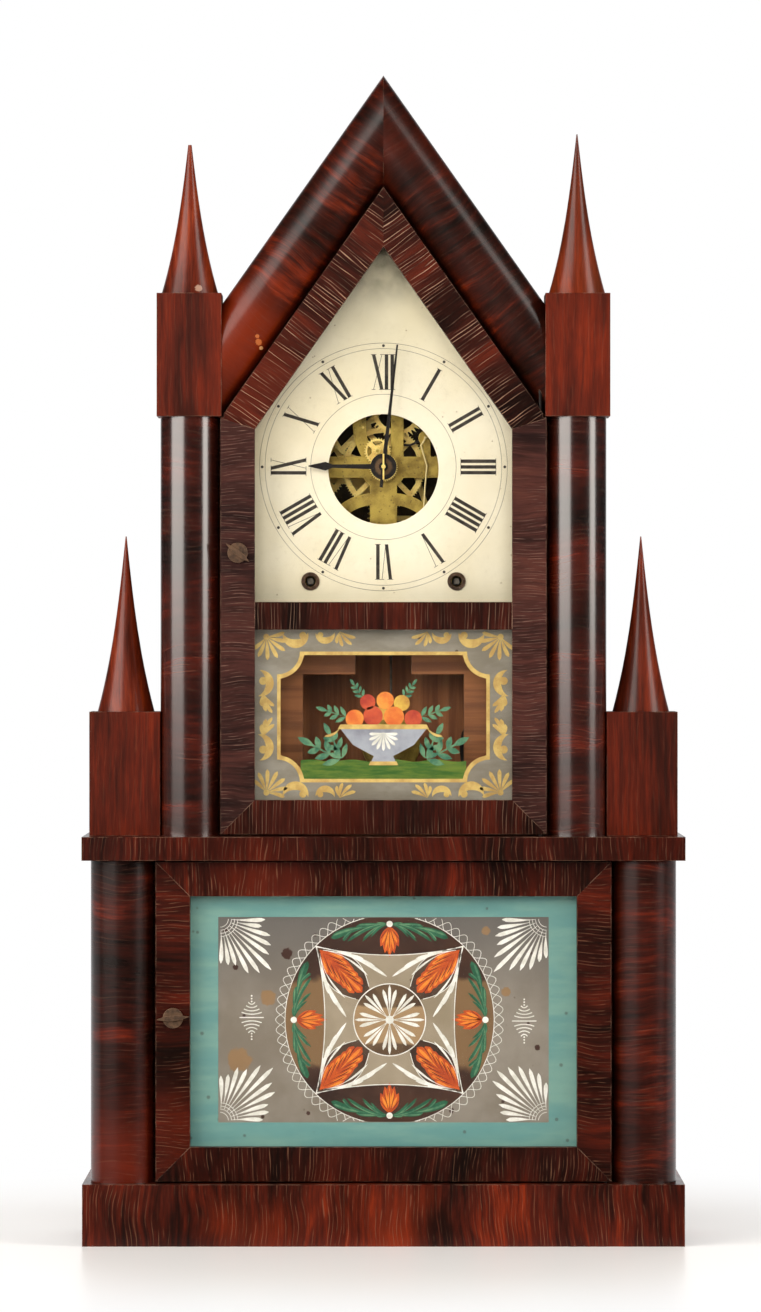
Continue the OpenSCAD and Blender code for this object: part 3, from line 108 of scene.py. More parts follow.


class Shader:
    """One procedural material: each method adds a node and gives back its output."""

    def __init__(self, name, roughness=0.5, metallic=0.0, coat=0.0, coat_roughness=0.2):
        self.material = bpy.data.materials.new(name)
        self.material.use_nodes = True
        self.tree = self.material.node_tree
        self.bsdf = self.tree.nodes["Principled BSDF"]
        preset(self.bsdf, {"Roughness": roughness, "Metallic": metallic, "Coat Weight": coat,
                           "Coat Roughness": coat_roughness})
        self.place = self.new("ShaderNodeTexCoord").outputs["Object"]
        parts = self.new("ShaderNodeSeparateXYZ")
        fill(parts, self.place)
        self.x, self.y, self.z = parts.outputs

    def new(self, kind):
        return self.tree.nodes.new(kind)

    def math(self, operation, a, b=0.0):
        node = self.new("ShaderNodeMath")
        node.operation = operation
        return fill(node, a, b)

    def plus(self, a, b):
        return self.math("ADD", a, b)

    def minus(self, a, b):
        return self.math("SUBTRACT", a, b)

    def times(self, a, b):
        return self.math("MULTIPLY", a, b)

    def length(self, a, b):
        return self.math("SQRT", self.plus(self.times(a, a), self.times(b, b)))

    def blend(self, factor, a, b):
        """Colour a where factor is 0 and b where it is 1."""
        node = self.new("ShaderNodeMix")
        node.data_type = "RGBA"
        feed(node.inputs[0], factor)
        feed(node.inputs[6], a)
        feed(node.inputs[7], b)
        return node.outputs[2]

    def step(self, value, low, high, out_low=0.0, out_high=1.0):
        node = self.new("ShaderNodeMapRange")
        node.interpolation_type = "SMOOTHSTEP"
        return fill(node, value, low, high, out_low, out_high)

    def point(self, x, y, z):
        return fill(self.new("ShaderNodeCombineXYZ"), x, y, z)

    def stretch(self, point, x, y, z):
        node = self.new("ShaderNodeVectorMath")
        node.operation = "MULTIPLY"
        return fill(node, point, (x, y, z))

    def noise(self, point, scale=1.0, detail=3.0, roughness=0.5, distortion=0.0):
        node = self.new("ShaderNodeTexNoise")
        feed(node.inputs["Vector"], point)
        preset(node, {"Scale": scale, "Detail": detail, "Roughness": roughness, "Distortion": distortion})
        return node.outputs[0]

    def specks(self, point, scale, size):
        """1 inside scattered round specks, 0 between them."""
        node = self.new("ShaderNodeTexVoronoi")
        feed(node.inputs["Vector"], point)
        preset(node, {"Scale": scale})
        return self.step(node.outputs["Distance"], size, size * 0.6)

    def near(self, x, z, radius, ragged=0.4):
        """1 close to a point of the front view, with a ragged rim."""
        far = self.length(self.minus(self.x, x), self.minus(self.z, z))
        wobble = self.times(self.noise(self.place, 2.2 / radius, 2.0), ragged * radius * 2)
        return self.step(self.plus(far, wobble), radius * (1 + ragged), radius * (0.75 + ragged))

    def edges(self, radius):
        """1 along arrises, where wood takes wear and dust and metal a painted highlight, and the softened
        normal.
        """
        bevel = self.new("ShaderNodeBevel")
        preset(bevel, {"Radius": radius})
        bevel.samples = 4
        plain = self.new("ShaderNodeNewGeometry").outputs["Normal"]
        dot = self.new("ShaderNodeVectorMath")
        dot.operation = "DOT_PRODUCT"
        fill(dot, bevel.outputs[0], plain)
        return self.step(dot.outputs["Value"], *ARRIS), bevel.outputs[0]

    def bump(self, height, strength, distance, normal=None):
        node = self.new("ShaderNodeBump")
        preset(node, {"Strength": strength, "Distance": distance})
        feed(node.inputs["Height"], height)
        if normal is not None:
            feed(node.inputs["Normal"], normal)
        feed(self.bsdf.inputs["Normal"], node.outputs[0])

    def colour(self, value):
        feed(self.bsdf.inputs["Base Color"], value)

    def rough(self, value):
        feed(self.bsdf.inputs["Roughness"], value)


# Wood

# Each way of laying veneer gives the place along the grain, across it, and out of the face


def grain_up(s):
    return s.z, s.x, s.y


def grain_across(s):
    return s.x, s.z, s.y


def grain_round(s):
    """Crossbanded round a half column: the figure runs across, with the depth added to the width."""
    return s.plus(s.x, s.y), s.z, s.y


def grain_over_slope(s):
    """Across a gable rail or moulding, the same on both slopes."""
    rise, run = math.sin(GABLE_SLOPE), math.cos(GABLE_SLOPE)
    side = s.math("ABSOLUTE", s.x)
    along = s.plus(s.times(side, rise), s.times(s.z, run))
    across = s.minus(s.times(side, run), s.times(s.z, rise))
    apart = s.times(s.math("GREATER_THAN", s.x, 0.0), SLOPE_APART)
    return along, across, s.plus(s.y, apart)


def grain_upper_rails(s):
    """Upright grain on the level rails, and across the slope on the gable rails."""
    top = s.math("GREATER_THAN", s.z, GABLE_FOOT)
    along, across, out = grain_over_slope(s)
    level = s.minus(1.0, top)
    u = s.plus(s.times(along, top), s.times(s.z, level))
    v = s.plus(s.times(across, top), s.times(s.x, level))
    return u, v, out


def checks(s, at, u, v, run, pitch):
    """Fine cracks along u, set pitch to the metre across v, each with gaps of its own."""
    uneven = s.noise(s.stretch(at, 25.0, pitch * 0.45, 25.0), 1.0, 2.0)
    phase = s.plus(s.times(v, pitch), s.times(uneven, 1.8))
    line = s.step(s.math("ABSOLUTE", s.minus(s.math("FRACT", phase), 0.5)), 0.12, 0.04)
    own = s.point(s.times(u, run), s.times(s.math("FLOOR", phase), 5.3), 0.0)
    alive = s.step(s.noise(own, 1.0, 2.0), 0.43, 0.60)
    where = s.step(s.noise(s.stretch(at, 30.0, 40.0, 30.0), 1.0, 3.0), 0.30, 0.55)
    return s.times(line, s.times(alive, where))


def wood(name, grain, dark, mid, light, cracks=0.5, figure=1.0, orange=0.35, gloss=0.36, coat=0.5,
         polish=0.20, coat_ior=1.45, dust=0.5, crack_colour=rgb(140, 96, 70), run=60.0, pitch=340.0,
         wander=0.02, ripple=0.3, calm_below=None, patches=()):
    """Aged veneer: figure and streaks along the grain, checks in the polish, dust on the arrises."""
    s = Shader(name, coat=coat, coat_roughness=polish)
    preset(s.bsdf, {"Coat IOR": coat_ior, "Specular IOR Level": 0.08})
    u, v, w = grain(s)
    bend = s.times(s.noise(s.place, 14.0, 2.0), wander)
    v_bent = s.plus(v, bend)
    at = s.point(u, v_bent, w)
    broad = s.noise(s.stretch(at, 9.0, 26.0, 9.0), figure, 4.0, 0.55, 0.6)
    streak = s.noise(s.stretch(at, 22.0, 320.0, 40.0), 1.0, 4.0, 0.6)
    fine = s.noise(s.stretch(at, 90.0, 1500.0, 300.0), 1.0, 2.0, 0.6)
    tone = s.plus(s.times(broad, 0.62), s.times(streak, 0.38))
    colour = s.blend(s.step(tone, 0.36, 0.60), dark, mid)
    colour = s.blend(s.times(s.step(tone, 0.52, 0.70), orange), colour, light)
    colour = s.blend(s.step(fine, 0.35, 0.7, 0.0, 0.30), colour, scaled(dark, 0.35))
    warm = s.noise(s.stretch(at, 6.0, 7.0, 6.0), 1.0, 3.0, 0.5)
    colour = s.blend(s.step(warm, 0.52, 0.72, 0.0, orange * 0.8), colour, light)
    line = checks(s, at, u, v_bent, run, pitch)
    if calm_below:
        line = s.times(line, s.step(s.z, calm_below - 0.01, calm_below, 0.35, 1.0))
    colour = s.blend(s.times(line, cracks), colour, crack_colour)
    edge_band, soft = s.edges(0.0007)
    broken = s.step(s.noise(s.place, 160.0, 3.0), 0.38, 0.62)
    colour = s.blend(s.times(s.times(edge_band, broken), dust), colour, rgb(168, 134, 110))
    for x, z, radius, tint in patches:
        colour = s.blend(s.near(x, z, radius), colour, tint)
    s.colour(colour)
    smear = s.noise(s.stretch(s.place, 30.0, 30.0, 12.0), 1.0, 3.0)
    s.rough(s.plus(s.step(smear, 0.3, 0.75, gloss, gloss + 0.16), s.times(line, 0.2)))
    wave = s.times(s.noise(s.stretch(at, 45.0, 190.0, 45.0), 1.0, 2.0), ripple)
    relief = s.plus(s.times(streak, 0.30), wave)
    relief = s.minus(relief, s.times(line, 0.5))
    s.bump(relief, 0.35, 0.0008, soft)
    return s.material


def bare_wood(name, grain, dark, light, rough=0.75):
    """Unpolished boards, with year rings as long streaks and age stains."""
    s = Shader(name, roughness=rough)
    u, v, w = grain(s)
    at = s.point(u, v, w)
    ring = s.noise(s.stretch(at, 5.0, 120.0, 60.0), 1.0, 4.0, 0.6, 0.4)
    pore = s.noise(s.stretch(at, 60.0, 1600.0, 900.0), 1.0, 2.0)
    stain = s.noise(s.place, 11.0, 4.0)
    colour = s.blend(s.step(ring, 0.35, 0.65), dark, light)
    colour = s.blend(s.step(pore, 0.5, 0.8, 0.0, 0.35), colour, dark)
    colour = s.blend(s.step(stain, 0.5, 0.8, 0.0, 0.5), colour, scaled(dark, 0.5))
    edge_band, soft = s.edges(0.0006)
    s.colour(s.blend(s.times(edge_band, 0.4), colour, light))
    s.bump(s.plus(ring, s.times(pore, 0.4)), 0.3, 0.0004, soft)
    return s.material


# Metals, paper, cord and glass


def metal(name, tint, shade, rough, metallic, tarnish, scale=120.0, patches=(), front=None, edge_band=0.0003):
    """Old metal with clouded tarnish, brushed lines, arrises painted brighter as a highlight, and another
    tint before a depth.
    """
    s = Shader(name, metallic=metallic)
    cloud = s.noise(s.place, scale, 4.0, 0.6)
    brush = s.noise(s.stretch(s.place, 1800.0, 500.0, 90.0), 1.0, 2.0)
    colour = s.blend(s.step(cloud, 0.35, 0.7, 0.0, tarnish), tint, shade)
    colour = s.blend(s.times(s.specks(s.place, scale * 4, 0.22), 0.5 * tarnish), colour, rgb(70, 50, 30))
    if front:
        depth, other = front
        colour = s.blend(s.math("LESS_THAN", s.y, depth), colour, other)
    for x, z, radius, patch in patches:
        colour = s.blend(s.near(x, z, radius, 0.15), colour, patch)
    painted_edge_glint, soft = s.edges(edge_band)
    # The arrises are painted brighter: a painted highlight where the edges catch the light
    s.colour(s.blend(s.times(painted_edge_glint, 0.75), colour, scaled(tint, 1.7)))
    s.rough(s.step(cloud, 0.3, 0.75, rough, rough + 0.22))
    s.bump(s.plus(s.times(brush, 0.6), s.times(cloud, 0.4)), 0.12, 0.0002, soft)
    return s.material


def glass(name):
    """Thin old glass: clear ahead, reflecting at a slant, with faint dust."""
    s = Shader(name, roughness=0.04)
    preset(s.bsdf, {"IOR": 1.5})
    facing = s.new("ShaderNodeLayerWeight")
    preset(facing, {"Blend": 0.35})
    dust = s.noise(s.place, 90.0, 4.0, 0.7)
    s.colour(s.blend(s.step(dust, 0.45, 0.8), rgb(24, 28, 28), rgb(90, 88, 80)))
    dusty = s.step(dust, 0.45, 0.85, 0.012, 0.035)
    feed(s.bsdf.inputs["Alpha"], s.plus(dusty, s.times(facing.outputs["Fresnel"], 0.30)))
    return s.material


def paper(name):
    s = Shader(name, roughness=0.85)
    blot = s.noise(s.place, 18.0, 5.0, 0.6)
    fibre = s.noise(s.place, 900.0, 2.0)
    colour = s.blend(s.step(blot, 0.3, 0.7), rgb(196, 172, 128), rgb(150, 118, 78))
    s.colour(s.blend(s.times(s.specks(s.place, 260.0, 0.16), 0.6), colour, rgb(92, 62, 36)))
    s.bump(fibre, 0.2, 0.0001)
    return s.material


def twisted(name, tint, shade):
    """Laid cord: a fine slanting twist along the run."""
    s = Shader(name, roughness=0.7)
    wave = s.new("ShaderNodeTexWave")
    feed(wave.inputs["Vector"], s.stretch(s.place, 1.0, 1.0, 0.8))
    wave.bands_direction = "DIAGONAL"
    preset(wave, {"Scale": 420.0, "Distortion": 1.5})
    s.colour(s.blend(wave.outputs["Fac"], shade, tint))
    s.bump(wave.outputs["Fac"], 0.5, 0.0003)
    return s.material


def dial_paint(name):
    """Cream paint on zinc: clouding and foxing, painted shade towards the top and along the sides, darker
    towards the foot, and darker blotches near the apex of the gable.
    """
    s = Shader(name, roughness=0.55)
    cloud = s.noise(s.place, 16.0, 4.0, 0.55)
    fine = s.noise(s.place, 420.0, 3.0)
    colour = s.blend(s.step(cloud, 0.3, 0.72), rgb(240, 232, 206), rgb(230, 219, 186))
    # Darker blotches near the apex of the gable
    blotch = s.step(s.noise(s.place, 55.0, 4.0), 0.30, 0.62, 0.25, 1.0)
    apex_blotches = s.times(s.step(s.z, DIAL_TOP - 0.058, DIAL_TOP - 0.024), blotch)
    # Painted shade towards the top, under the gable
    colour = s.blend(s.step(s.z, DIAL_Z + 0.02, DIAL_TOP - 0.03, 0.0, 0.25), colour, rgb(206, 200, 160))
    colour = s.blend(apex_blotches, colour, rgb(88, 82, 58))
    # Painted shade along both sides of the dial
    painted_side_shade = s.step(s.math("ABSOLUTE", s.x), 0.064, 0.076)
    colour = s.blend(s.times(painted_side_shade, 0.35), colour, rgb(178, 166, 128))
    colour = s.blend(s.step(s.z, DIAL_FOOT + 0.028, DIAL_FOOT + 0.012, 0.0, 0.3), colour, rgb(200, 192, 160))
    colour = s.blend(s.times(s.specks(s.place, 120.0, 0.07), 0.55), colour, rgb(140, 112, 70))
    colour = s.blend(s.step(fine, 0.55, 0.8, 0.0, 0.18), colour, rgb(190, 176, 140))
    s.colour(colour)
    s.bump(s.plus(fine, s.times(cloud, 2.0)), 0.08, 0.0002)
    return s.material


def paint(name, tint, shade, scale=60.0, rough=0.45, streaks=(1.0, 1.0, 1.0), flecks=0.0, middle=None,
          upper=None, patches=()):
    """Hand laid paint with brush streaks, losses, blots, another tint across the middle and one above."""
    s = Shader(name, roughness=rough)
    lay = s.noise(s.stretch(s.place, *streaks), scale, 4.0, 0.6)
    colour = s.blend(s.step(lay, 0.32, 0.68), tint, shade)
    if middle:
        z, reach, other = middle
        off = s.math("ABSOLUTE", s.minus(s.z, z))
        ragged = s.times(s.noise(s.place, 70.0, 3.0), reach * 0.5)
        inside = s.step(s.plus(off, ragged), reach * 1.3, reach * 1.15)
        colour = s.blend(s.times(inside, s.step(lay, 0.25, 0.5, 0.65, 1.0)), colour, other)
    if upper:
        low, high, other = upper
        colour = s.blend(s.step(s.plus(s.z, s.times(lay, 0.01)), low, high), colour, other)
    for x, z, radius, blot in patches:
        colour = s.blend(s.near(x, z, radius), colour, blot)
    if flecks:
        lost = s.times(s.specks(s.place, 75.0, 0.10), flecks)
        colour = s.blend(lost, colour, rgb(66, 46, 34))
    s.colour(colour)
    s.bump(lay, 0.1, 0.0001)
    return s.material


ROSE = dict(dark=rgb(26, 7, 3), mid=rgb(80, 22, 7), light=rgb(158, 50, 9))
DEEP = dict(dark=rgb(17, 5, 2), mid=rgb(54, 13, 4), light=rgb(124, 34, 6))
# A greyer, pinker palette for the upper stiles: the haze of the polish's reflection painted into the colour
SHEEN_HAZE = dict(dark=rgb(30, 15, 13), mid=rgb(66, 34, 28), light=rgb(112, 62, 44))
CHIP = rgb(164, 88, 42)
MOULDING_CHIPS = (  # x, z, radius and colour
    (-0.0722, 0.5188, 0.0013, CHIP), (-0.0713, 0.5155, 0.0020, CHIP),
    (-0.0700, 0.5122, 0.0012, rgb(206, 150, 98)),
)
SPIRE_CHIPS = ((-0.1057, 0.5463, 0.0022, rgb(150, 116, 98)),)
COLLET_SPOTS = ((DIAL_X, DIAL_Z, 0.0056, rgb(126, 98, 70)), (DIAL_X, DIAL_Z, 0.0020, rgb(74, 56, 42)))
finishes = {
    "plinth": wood("rosewood plinth", grain_up, cracks=0.25, orange=0.6, pitch=420.0, **ROSE),
    "ledge": wood("rosewood ledge", grain_up, cracks=0.20, orange=0.3, pitch=420.0, **DEEP),
    "door_stile": wood("rosewood stiles", grain_across, cracks=0.35, orange=0.25, gloss=0.42, run=90.0,
                       pitch=560.0, crack_colour=rgb(136, 104, 90), **SHEEN_HAZE),
    "lower_stile": wood("rosewood lower stiles", grain_across, cracks=0.25, orange=0.30, run=90.0,
                        pitch=480.0, **DEEP),
    "door_rail": wood("rosewood rails", grain_up, cracks=0.30, orange=0.45, run=70.0, pitch=480.0, **DEEP),
    "gable_rail": wood("rosewood upper rails", grain_upper_rails, cracks=0.70, run=30.0, pitch=520.0,
                       crack_colour=rgb(164, 128, 104), wander=0.008, calm_below=GABLE_FOOT,
                       dark=rgb(19, 6, 3), mid=rgb(54, 16, 7), light=rgb(108, 32, 8)),
    "column": wood("rosewood columns", grain_round, cracks=0.10, figure=1.3, coat=1.0, coat_ior=1.8,
                   dust=0.3, ripple=2.2, **DEEP),
    "low_column": wood("rosewood lower columns", grain_round, cracks=0.08, figure=1.3, orange=0.50,
                       coat=0.80, polish=0.24, dust=0.3, ripple=0.8, **DEEP),
    "moulding": wood("rosewood mouldings", grain_over_slope, cracks=0.05, figure=1.1, orange=0.65,
                     gloss=0.40, coat=0.55, polish=0.25, dust=0.3, ripple=1.2, dark=rgb(15, 5, 2),
                     mid=rgb(54, 14, 4), light=rgb(128, 38, 5), patches=MOULDING_CHIPS),
    "block": wood("veneered blocks", grain_up, cracks=0.06, figure=0.8, orange=0.45, gloss=0.44, coat=0.12,
                  polish=0.30, wander=0.005, dark=rgb(40, 12, 5), mid=rgb(84, 23, 6), light=rgb(128, 38, 4)),
    "spire": wood("turned spires", grain_up, cracks=0.05, orange=0.45, polish=0.24, dust=0.2, wander=0.006,
                  dark=rgb(50, 14, 5), mid=rgb(104, 32, 9), light=rgb(162, 68, 20), patches=SPIRE_CHIPS),
    "carcass": wood("stained case sides", grain_across, cracks=0.15, figure=0.7, orange=0.2, gloss=0.42,
                    coat=0.15, dark=rgb(38, 17, 11), mid=rgb(70, 32, 18), light=rgb(104, 52, 26)),
    "inside": bare_wood("pine boards", grain_up, rgb(124, 74, 44), rgb(168, 108, 66)),
    "seat": bare_wood("maple seat", grain_across, rgb(118, 70, 38), rgb(158, 100, 56), 0.6),
    "pulley": bare_wood("turned pulleys", grain_across, rgb(96, 60, 36), rgb(140, 92, 56), 0.55),
    "plate": metal("plate brass", rgb(190, 164, 74), rgb(126, 102, 38), 0.40, 0.28, 1.0, 90.0, edge_band=0.0007),
    "back_plate": metal("dark plate brass", rgb(76, 58, 28), rgb(36, 26, 15), 0.45, 0.40, 0.8),
    # Wheel brass is painted lighter than the plates, to make up for the shade the wheels lie in behind the
    # front plate
    "wheel": metal("wheel brass", rgb(252, 224, 128), rgb(206, 160, 72), 0.34, 0.12, 0.6, edge_band=0.0005),
    "fitting": metal("worn brass", rgb(112, 86, 66), rgb(44, 32, 26), 0.28, 0.5, 0.8, 260.0, edge_band=0.0006),
    "steel": metal("dull steel", rgb(150, 142, 130), rgb(92, 82, 70), 0.40, 0.7, 0.6, 200.0),
    "verge": metal("verge steel and wire", rgb(60, 54, 48), rgb(36, 31, 28), 0.36, 0.5, 0.5, 200.0,
                   front=(0.004, rgb(240, 222, 160))),
    "hand": metal("blackened steel", rgb(52, 48, 46), rgb(32, 28, 27), 0.40, 0.6, 0.6, 300.0,
                  patches=COLLET_SPOTS),
    "black_hand": metal("black hand", rgb(50, 46, 44), rgb(30, 27, 26), 0.40, 0.6, 0.6, 300.0),
    "iron": metal("black iron", rgb(52, 49, 48), rgb(38, 32, 28), 0.5, 0.8, 0.6, 150.0),
    "spring": metal("oiled spring leaves", rgb(92, 92, 96), rgb(56, 50, 46), 0.35, 1.0, 0.6, 60.0),
    "label": paper("bare paper label"),
    "cord": twisted("gut and cord", rgb(196, 164, 108), rgb(126, 98, 60)),
    "dial": dial_paint("dial paint"),
    "glass": glass("old glass"),
}
NODES_OF = {  # the nodes of each finish; the rest is wheel brass
    "plinth": "plinth", "ledge": "ledge", "column": "upper_columns", "low_column": "lower_columns",
    "door_stile": "upper_door_stiles", "lower_stile": "lower_door_stiles", "door_rail": "lower_door_rails",
    "gable_rail": "upper_door_rails", "moulding": "gable_mouldings", "block": "spire_blocks",
    "spire": "spires", "carcass": "lower_carcass upper_carcass roof", "seat": "seat_rails",
    "inside": "base_board lower_backboard upper_backboard dial_supports",
    "pulley": "time_pulley strike_pulley", "plate": "front_plate plate_pillars pendulum_bob",
    "back_plate": "back_plate", "fitting": "winding_grommets upper_latch lower_latch", "verge": "verge",
    "iron": "upper_door_pins lower_door_pins gong time_click strike_click pulley_studs",
    "steel": "pendulum_rod time_drum strike_drum hammer", "black_hand": "minute_hand",
    "hand": "hour_hand", "spring": "leaf_spring", "label": "paper_label", "cord": "drive_cords",
    "dial": "dial", "glass": "dial_glass upper_tablet lower_tablet",
}
FINISH_OF = {node: finish for finish, nodes in NODES_OF.items() for node in nodes.split()}
for node, thing in frame["nodes"].items():
    thing.data.materials.clear()
    thing.data.materials.append(finishes[FINISH_OF.get(node, "wheel")])


# Flat painted shapes, drawn in the front view from (x, z) points in metres


def coat(name, shapes, y, material, body, thickness=COAT, levels=1):
    """A coat of paint: each outline becomes a thin closed plate whose face is at y.

    With more levels, neighbouring shapes lie at different depths, so that those that cross share no plane.
    """
    mesh = bpy.data.meshes.new(name)
    bm = bmesh.new()
    for index, outline in enumerate(shapes):
        face = y + (index % levels) * STAGGER
        front = [bm.verts.new((x, face, z)) for x, z in outline]
        back = [bm.verts.new((x, face + thickness, z)) for x, z in outline]
        bm.faces.new(front)
        bm.faces.new(list(reversed(back)))
        for i in range(len(front)):
            j = (i + 1) % len(front)
            bm.faces.new((front[j], front[i], back[i], back[j]))
    bmesh.ops.recalc_face_normals(bm, faces=bm.faces)
    bm.to_mesh(mesh)
    bm.free()
    mesh.materials.append(material)
    piece = new_object(name, mesh)
    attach(piece, body)


def on_upper(name, shapes, layers, material, thickness=COAT, levels=1):
    """A coat so many layers behind the glass of the upper tablet."""
    coat(name, shapes, UPPER_GLASS[1][1] + layers * LAYER, material, "upper_door", thickness, levels)


def on_lower(name, shapes, layers, material, thickness=COAT, levels=1):
    coat(name, shapes, LOWER_GLASS[1][1] + layers * LAYER, material, "lower_door", thickness, levels)


def polar(r, degrees, centre):
    turn = math.radians(degrees)
    return centre[0] + r * math.cos(turn), centre[1] + r * math.sin(turn)


def disc(centre, r, sides):
    return [polar(r, 360 * i / sides, centre) for i in range(sides)]


def box_shape(x0, x1, z0, z1):
    return [(x0, z0), (x1, z0), (x1, z1), (x0, z1)]


def band(points, width, closed=False):
    """Short plates that follow a line, so that each stays flat and simple."""
    shapes = []
    count = len(points)
    for i in range(count if closed else count - 1):
        (x0, z0), (x1, z1) = points[i], points[(i + 1) % count]
        length = math.hypot(x1 - x0, z1 - z0) or 1.0
        nx, nz = -(z1 - z0) / length * width / 2, (x1 - x0) / length * width / 2
        ex, ez = (x1 - x0) / length * width * 0.3, (z1 - z0) / length * width * 0.3
        shapes.append([(x0 + nx - ex, z0 + nz - ez), (x0 - nx - ex, z0 - nz - ez),
                       (x1 - nx + ex, z1 - nz + ez), (x1 + nx + ex, z1 + nz + ez)])
    return shapes


def circle_line(centre, r, width, steps=120, start=0.0, sweep=360.0):
    """A thin ring or part of one, as quads that share their corners."""
    shapes = []
    for i in range(steps):
        a, b = start + sweep * i / steps, start + sweep * (i + 1) / steps
        shapes.append([polar(r - width / 2, a, centre), polar(r + width / 2, a, centre),
                       polar(r + width / 2, b, centre), polar(r - width / 2, b, centre)])
    return shapes


def tear(start, degrees, length, width, bend=0.0, steps=9, late=1.3, least=0.00004):
    """A brush stroke that opens from a point to a round end, and curves by bend; late keeps its stem thin."""
    turn = math.radians(degrees)
    left, right = [], []
    for i in range(steps + 1):
        t = i / steps
        half = width / 2 * (math.sin(min(t / 0.8, 1.0) * math.pi / 2) ** late)
        if t > 0.8:
            half *= math.sqrt(max(0.0, 1 - ((t - 0.8) / 0.2) ** 2))
        along, side = length * t, bend * length * t * t
        for out, way in ((left, 1), (right, -1)):
            offset = side + way * max(half, least)
            out.append((start[0] + along * math.cos(turn) - offset * math.sin(turn),
                        start[1] + along * math.sin(turn) + offset * math.cos(turn)))
    return left + list(reversed(right))


def lens(a, b, bulge, steps=12):
    """A leaf shape between two points."""
    length = math.dist(a, b)
    nx, nz = -(b[1] - a[1]) / length, (b[0] - a[0]) / length
    upper, lower = [], []
    for i in range(steps + 1):
        t = i / steps
        half = bulge * math.sin(math.pi * t)
        x, z = a[0] + (b[0] - a[0]) * t, a[1] + (b[1] - a[1]) * t
        upper.append((x + nx * half, z + nz * half))
        lower.append((x - nx * half, z - nz * half))
    return upper + list(reversed(lower))[1:-1]


def flipped(shapes):
    """The same shapes and their mirror images about x = 0."""
    return shapes + [[(-x, z) for x, z in reversed(s)] for s in shapes]


# Dial: rings, hour dots and radial numerals

CENTRE = (DIAL_X, DIAL_Z)
MINUTE_RINGS = (0.0714, 0.0682)
INNER_RING = 0.0419
DOT_RING = 0.0699
RING_LINE = 0.00026
DOT = 0.00085
NUMERAL_LOW = 0.0446
NUMERAL_HIGH = 0.0648
THICK = 0.0020
THIN = 0.00028
STROKE_STEP = {"I": 0.0033, "V": 0.0064, "X": 0.0068}
NUMERALS = ("XII", "I", "II", "III", "IIII", "V", "VI", "VII", "VIII", "IX", "X", "XI")


def stroke(x0, x1, width, tall):
    """A straight stroke from the foot at x0 to the head at x1."""
    return [(x0 - width / 2, 0.0), (x0 + width / 2, 0.0), (x1 + width / 2, tall), (x1 - width / 2, tall)]


def serif(x, z, half):
    return box_shape(x - half, x + half, z - THIN / 2, z + THIN / 2)


def numeral(text, tall):
    """Strokes of a numeral that stands on z = 0 with its middle at x = 0."""
    width = sum(STROKE_STEP[c] for c in text)
    x = -width / 2
    shapes = []
    for c in text:
        step = STROKE_STEP[c]
        middle = x + step / 2
        if c == "I":
            shapes += [stroke(middle, middle, THICK, tall),
                       serif(middle, 0.0, 0.0017), serif(middle, tall, 0.0017)]
        elif c == "V":
            arm = step / 2 - 0.0008
            shapes += [stroke(middle - 0.0001, middle - arm, THICK * 0.95, tall),
                       stroke(middle + 0.0004, middle + arm, THIN, tall),
                       serif(middle - arm, tall, 0.0017), serif(middle + arm, tall, 0.0012)]
        else:
            arm = step / 2 - 0.0010
            shapes += [stroke(middle + arm, middle - arm, THICK, tall),
                       stroke(middle - arm, middle + arm, THIN, tall),
                       serif(middle - arm, tall, 0.0016), serif(middle + arm, tall, 0.0011),
                       serif(middle - arm, 0.0, 0.0011), serif(middle + arm, 0.0, 0.0016)]
        x += step
    return shapes


def on_dial(shape, hour):
    """Turns a shape that stands on z = 0 to its hour, its foot towards the middle."""
    turn = math.radians(-30 * hour)
    out = []
    for x, z in shape:
        z += NUMERAL_LOW
        out.append((CENTRE[0] + x * math.cos(turn) - z * math.sin(turn),
                    CENTRE[1] + x * math.sin(turn) + z * math.cos(turn)))
    return out


ink = paint("dial ink", rgb(38, 33, 28), rgb(70, 62, 52), scale=240.0, rough=0.5)
faint_ink = paint("thin dial ink", rgb(104, 98, 82), rgb(142, 134, 112), scale=90.0, rough=0.5)
marks = [on_dial(s, hour) for hour, text in enumerate(NUMERALS)
         for s in numeral(text, NUMERAL_HIGH - NUMERAL_LOW)]
dots = [disc(polar(DOT_RING, 90 - 30 * i, CENTRE), DOT, 12) for i in range(12)]
rings = [s for r in MINUTE_RINGS for s in circle_line(CENTRE, r, RING_LINE, 180)]
rings += circle_line(CENTRE, INNER_RING, RING_LINE)
coat("dial_numerals", marks + dots, DIAL_FRONT - LAYER, ink, "case")
coat("dial_rings", rings, DIAL_FRONT - LAYER * 0.8, faint_ink, "case")

# Upper tablet: a gilt leaf border round an incurved panel, a strip of ground and a bowl of fruit

PANEL_HALF = 0.0610
PANEL_LOW, PANEL_HIGH = 0.2635, 0.3385
PANEL_CORNER = 0.0135
CORNER_STEPS = 8
EDGE_HALF = UPPER_GLASS[1][0] - BARE_EDGE
EDGE_LOW, EDGE_HIGH = UPPER_GLASS[0][2] + BARE_EDGE, UPPER_GLASS[1][2] - BARE_EDGE


def panel_outline(inset):
    """The incurved panel, drawn inset further in."""
    half, low, high = PANEL_HALF - inset, PANEL_LOW + inset, PANEL_HIGH - inset
    points = []
    for cx, cz, start in ((PANEL_HALF, PANEL_LOW, 180), (PANEL_HALF, PANEL_HIGH, 270),
                          (-PANEL_HALF, PANEL_HIGH, 0), (-PANEL_HALF, PANEL_LOW, 90)):
        for i in range(CORNER_STEPS + 1):
            points.append(polar(PANEL_CORNER + inset, start - 90 * i / CORNER_STEPS, (cx, cz)))
    return [(max(-half, min(half, x)), max(low, min(high, z))) for x, z in points]


def ring_between(outer, inner):
    """Quads between two outlines that have the same number of points."""
    count = len(outer)
    return [[outer[i], outer[(i + 1) % count], inner[(i + 1) % count], inner[i]] for i in range(count)]


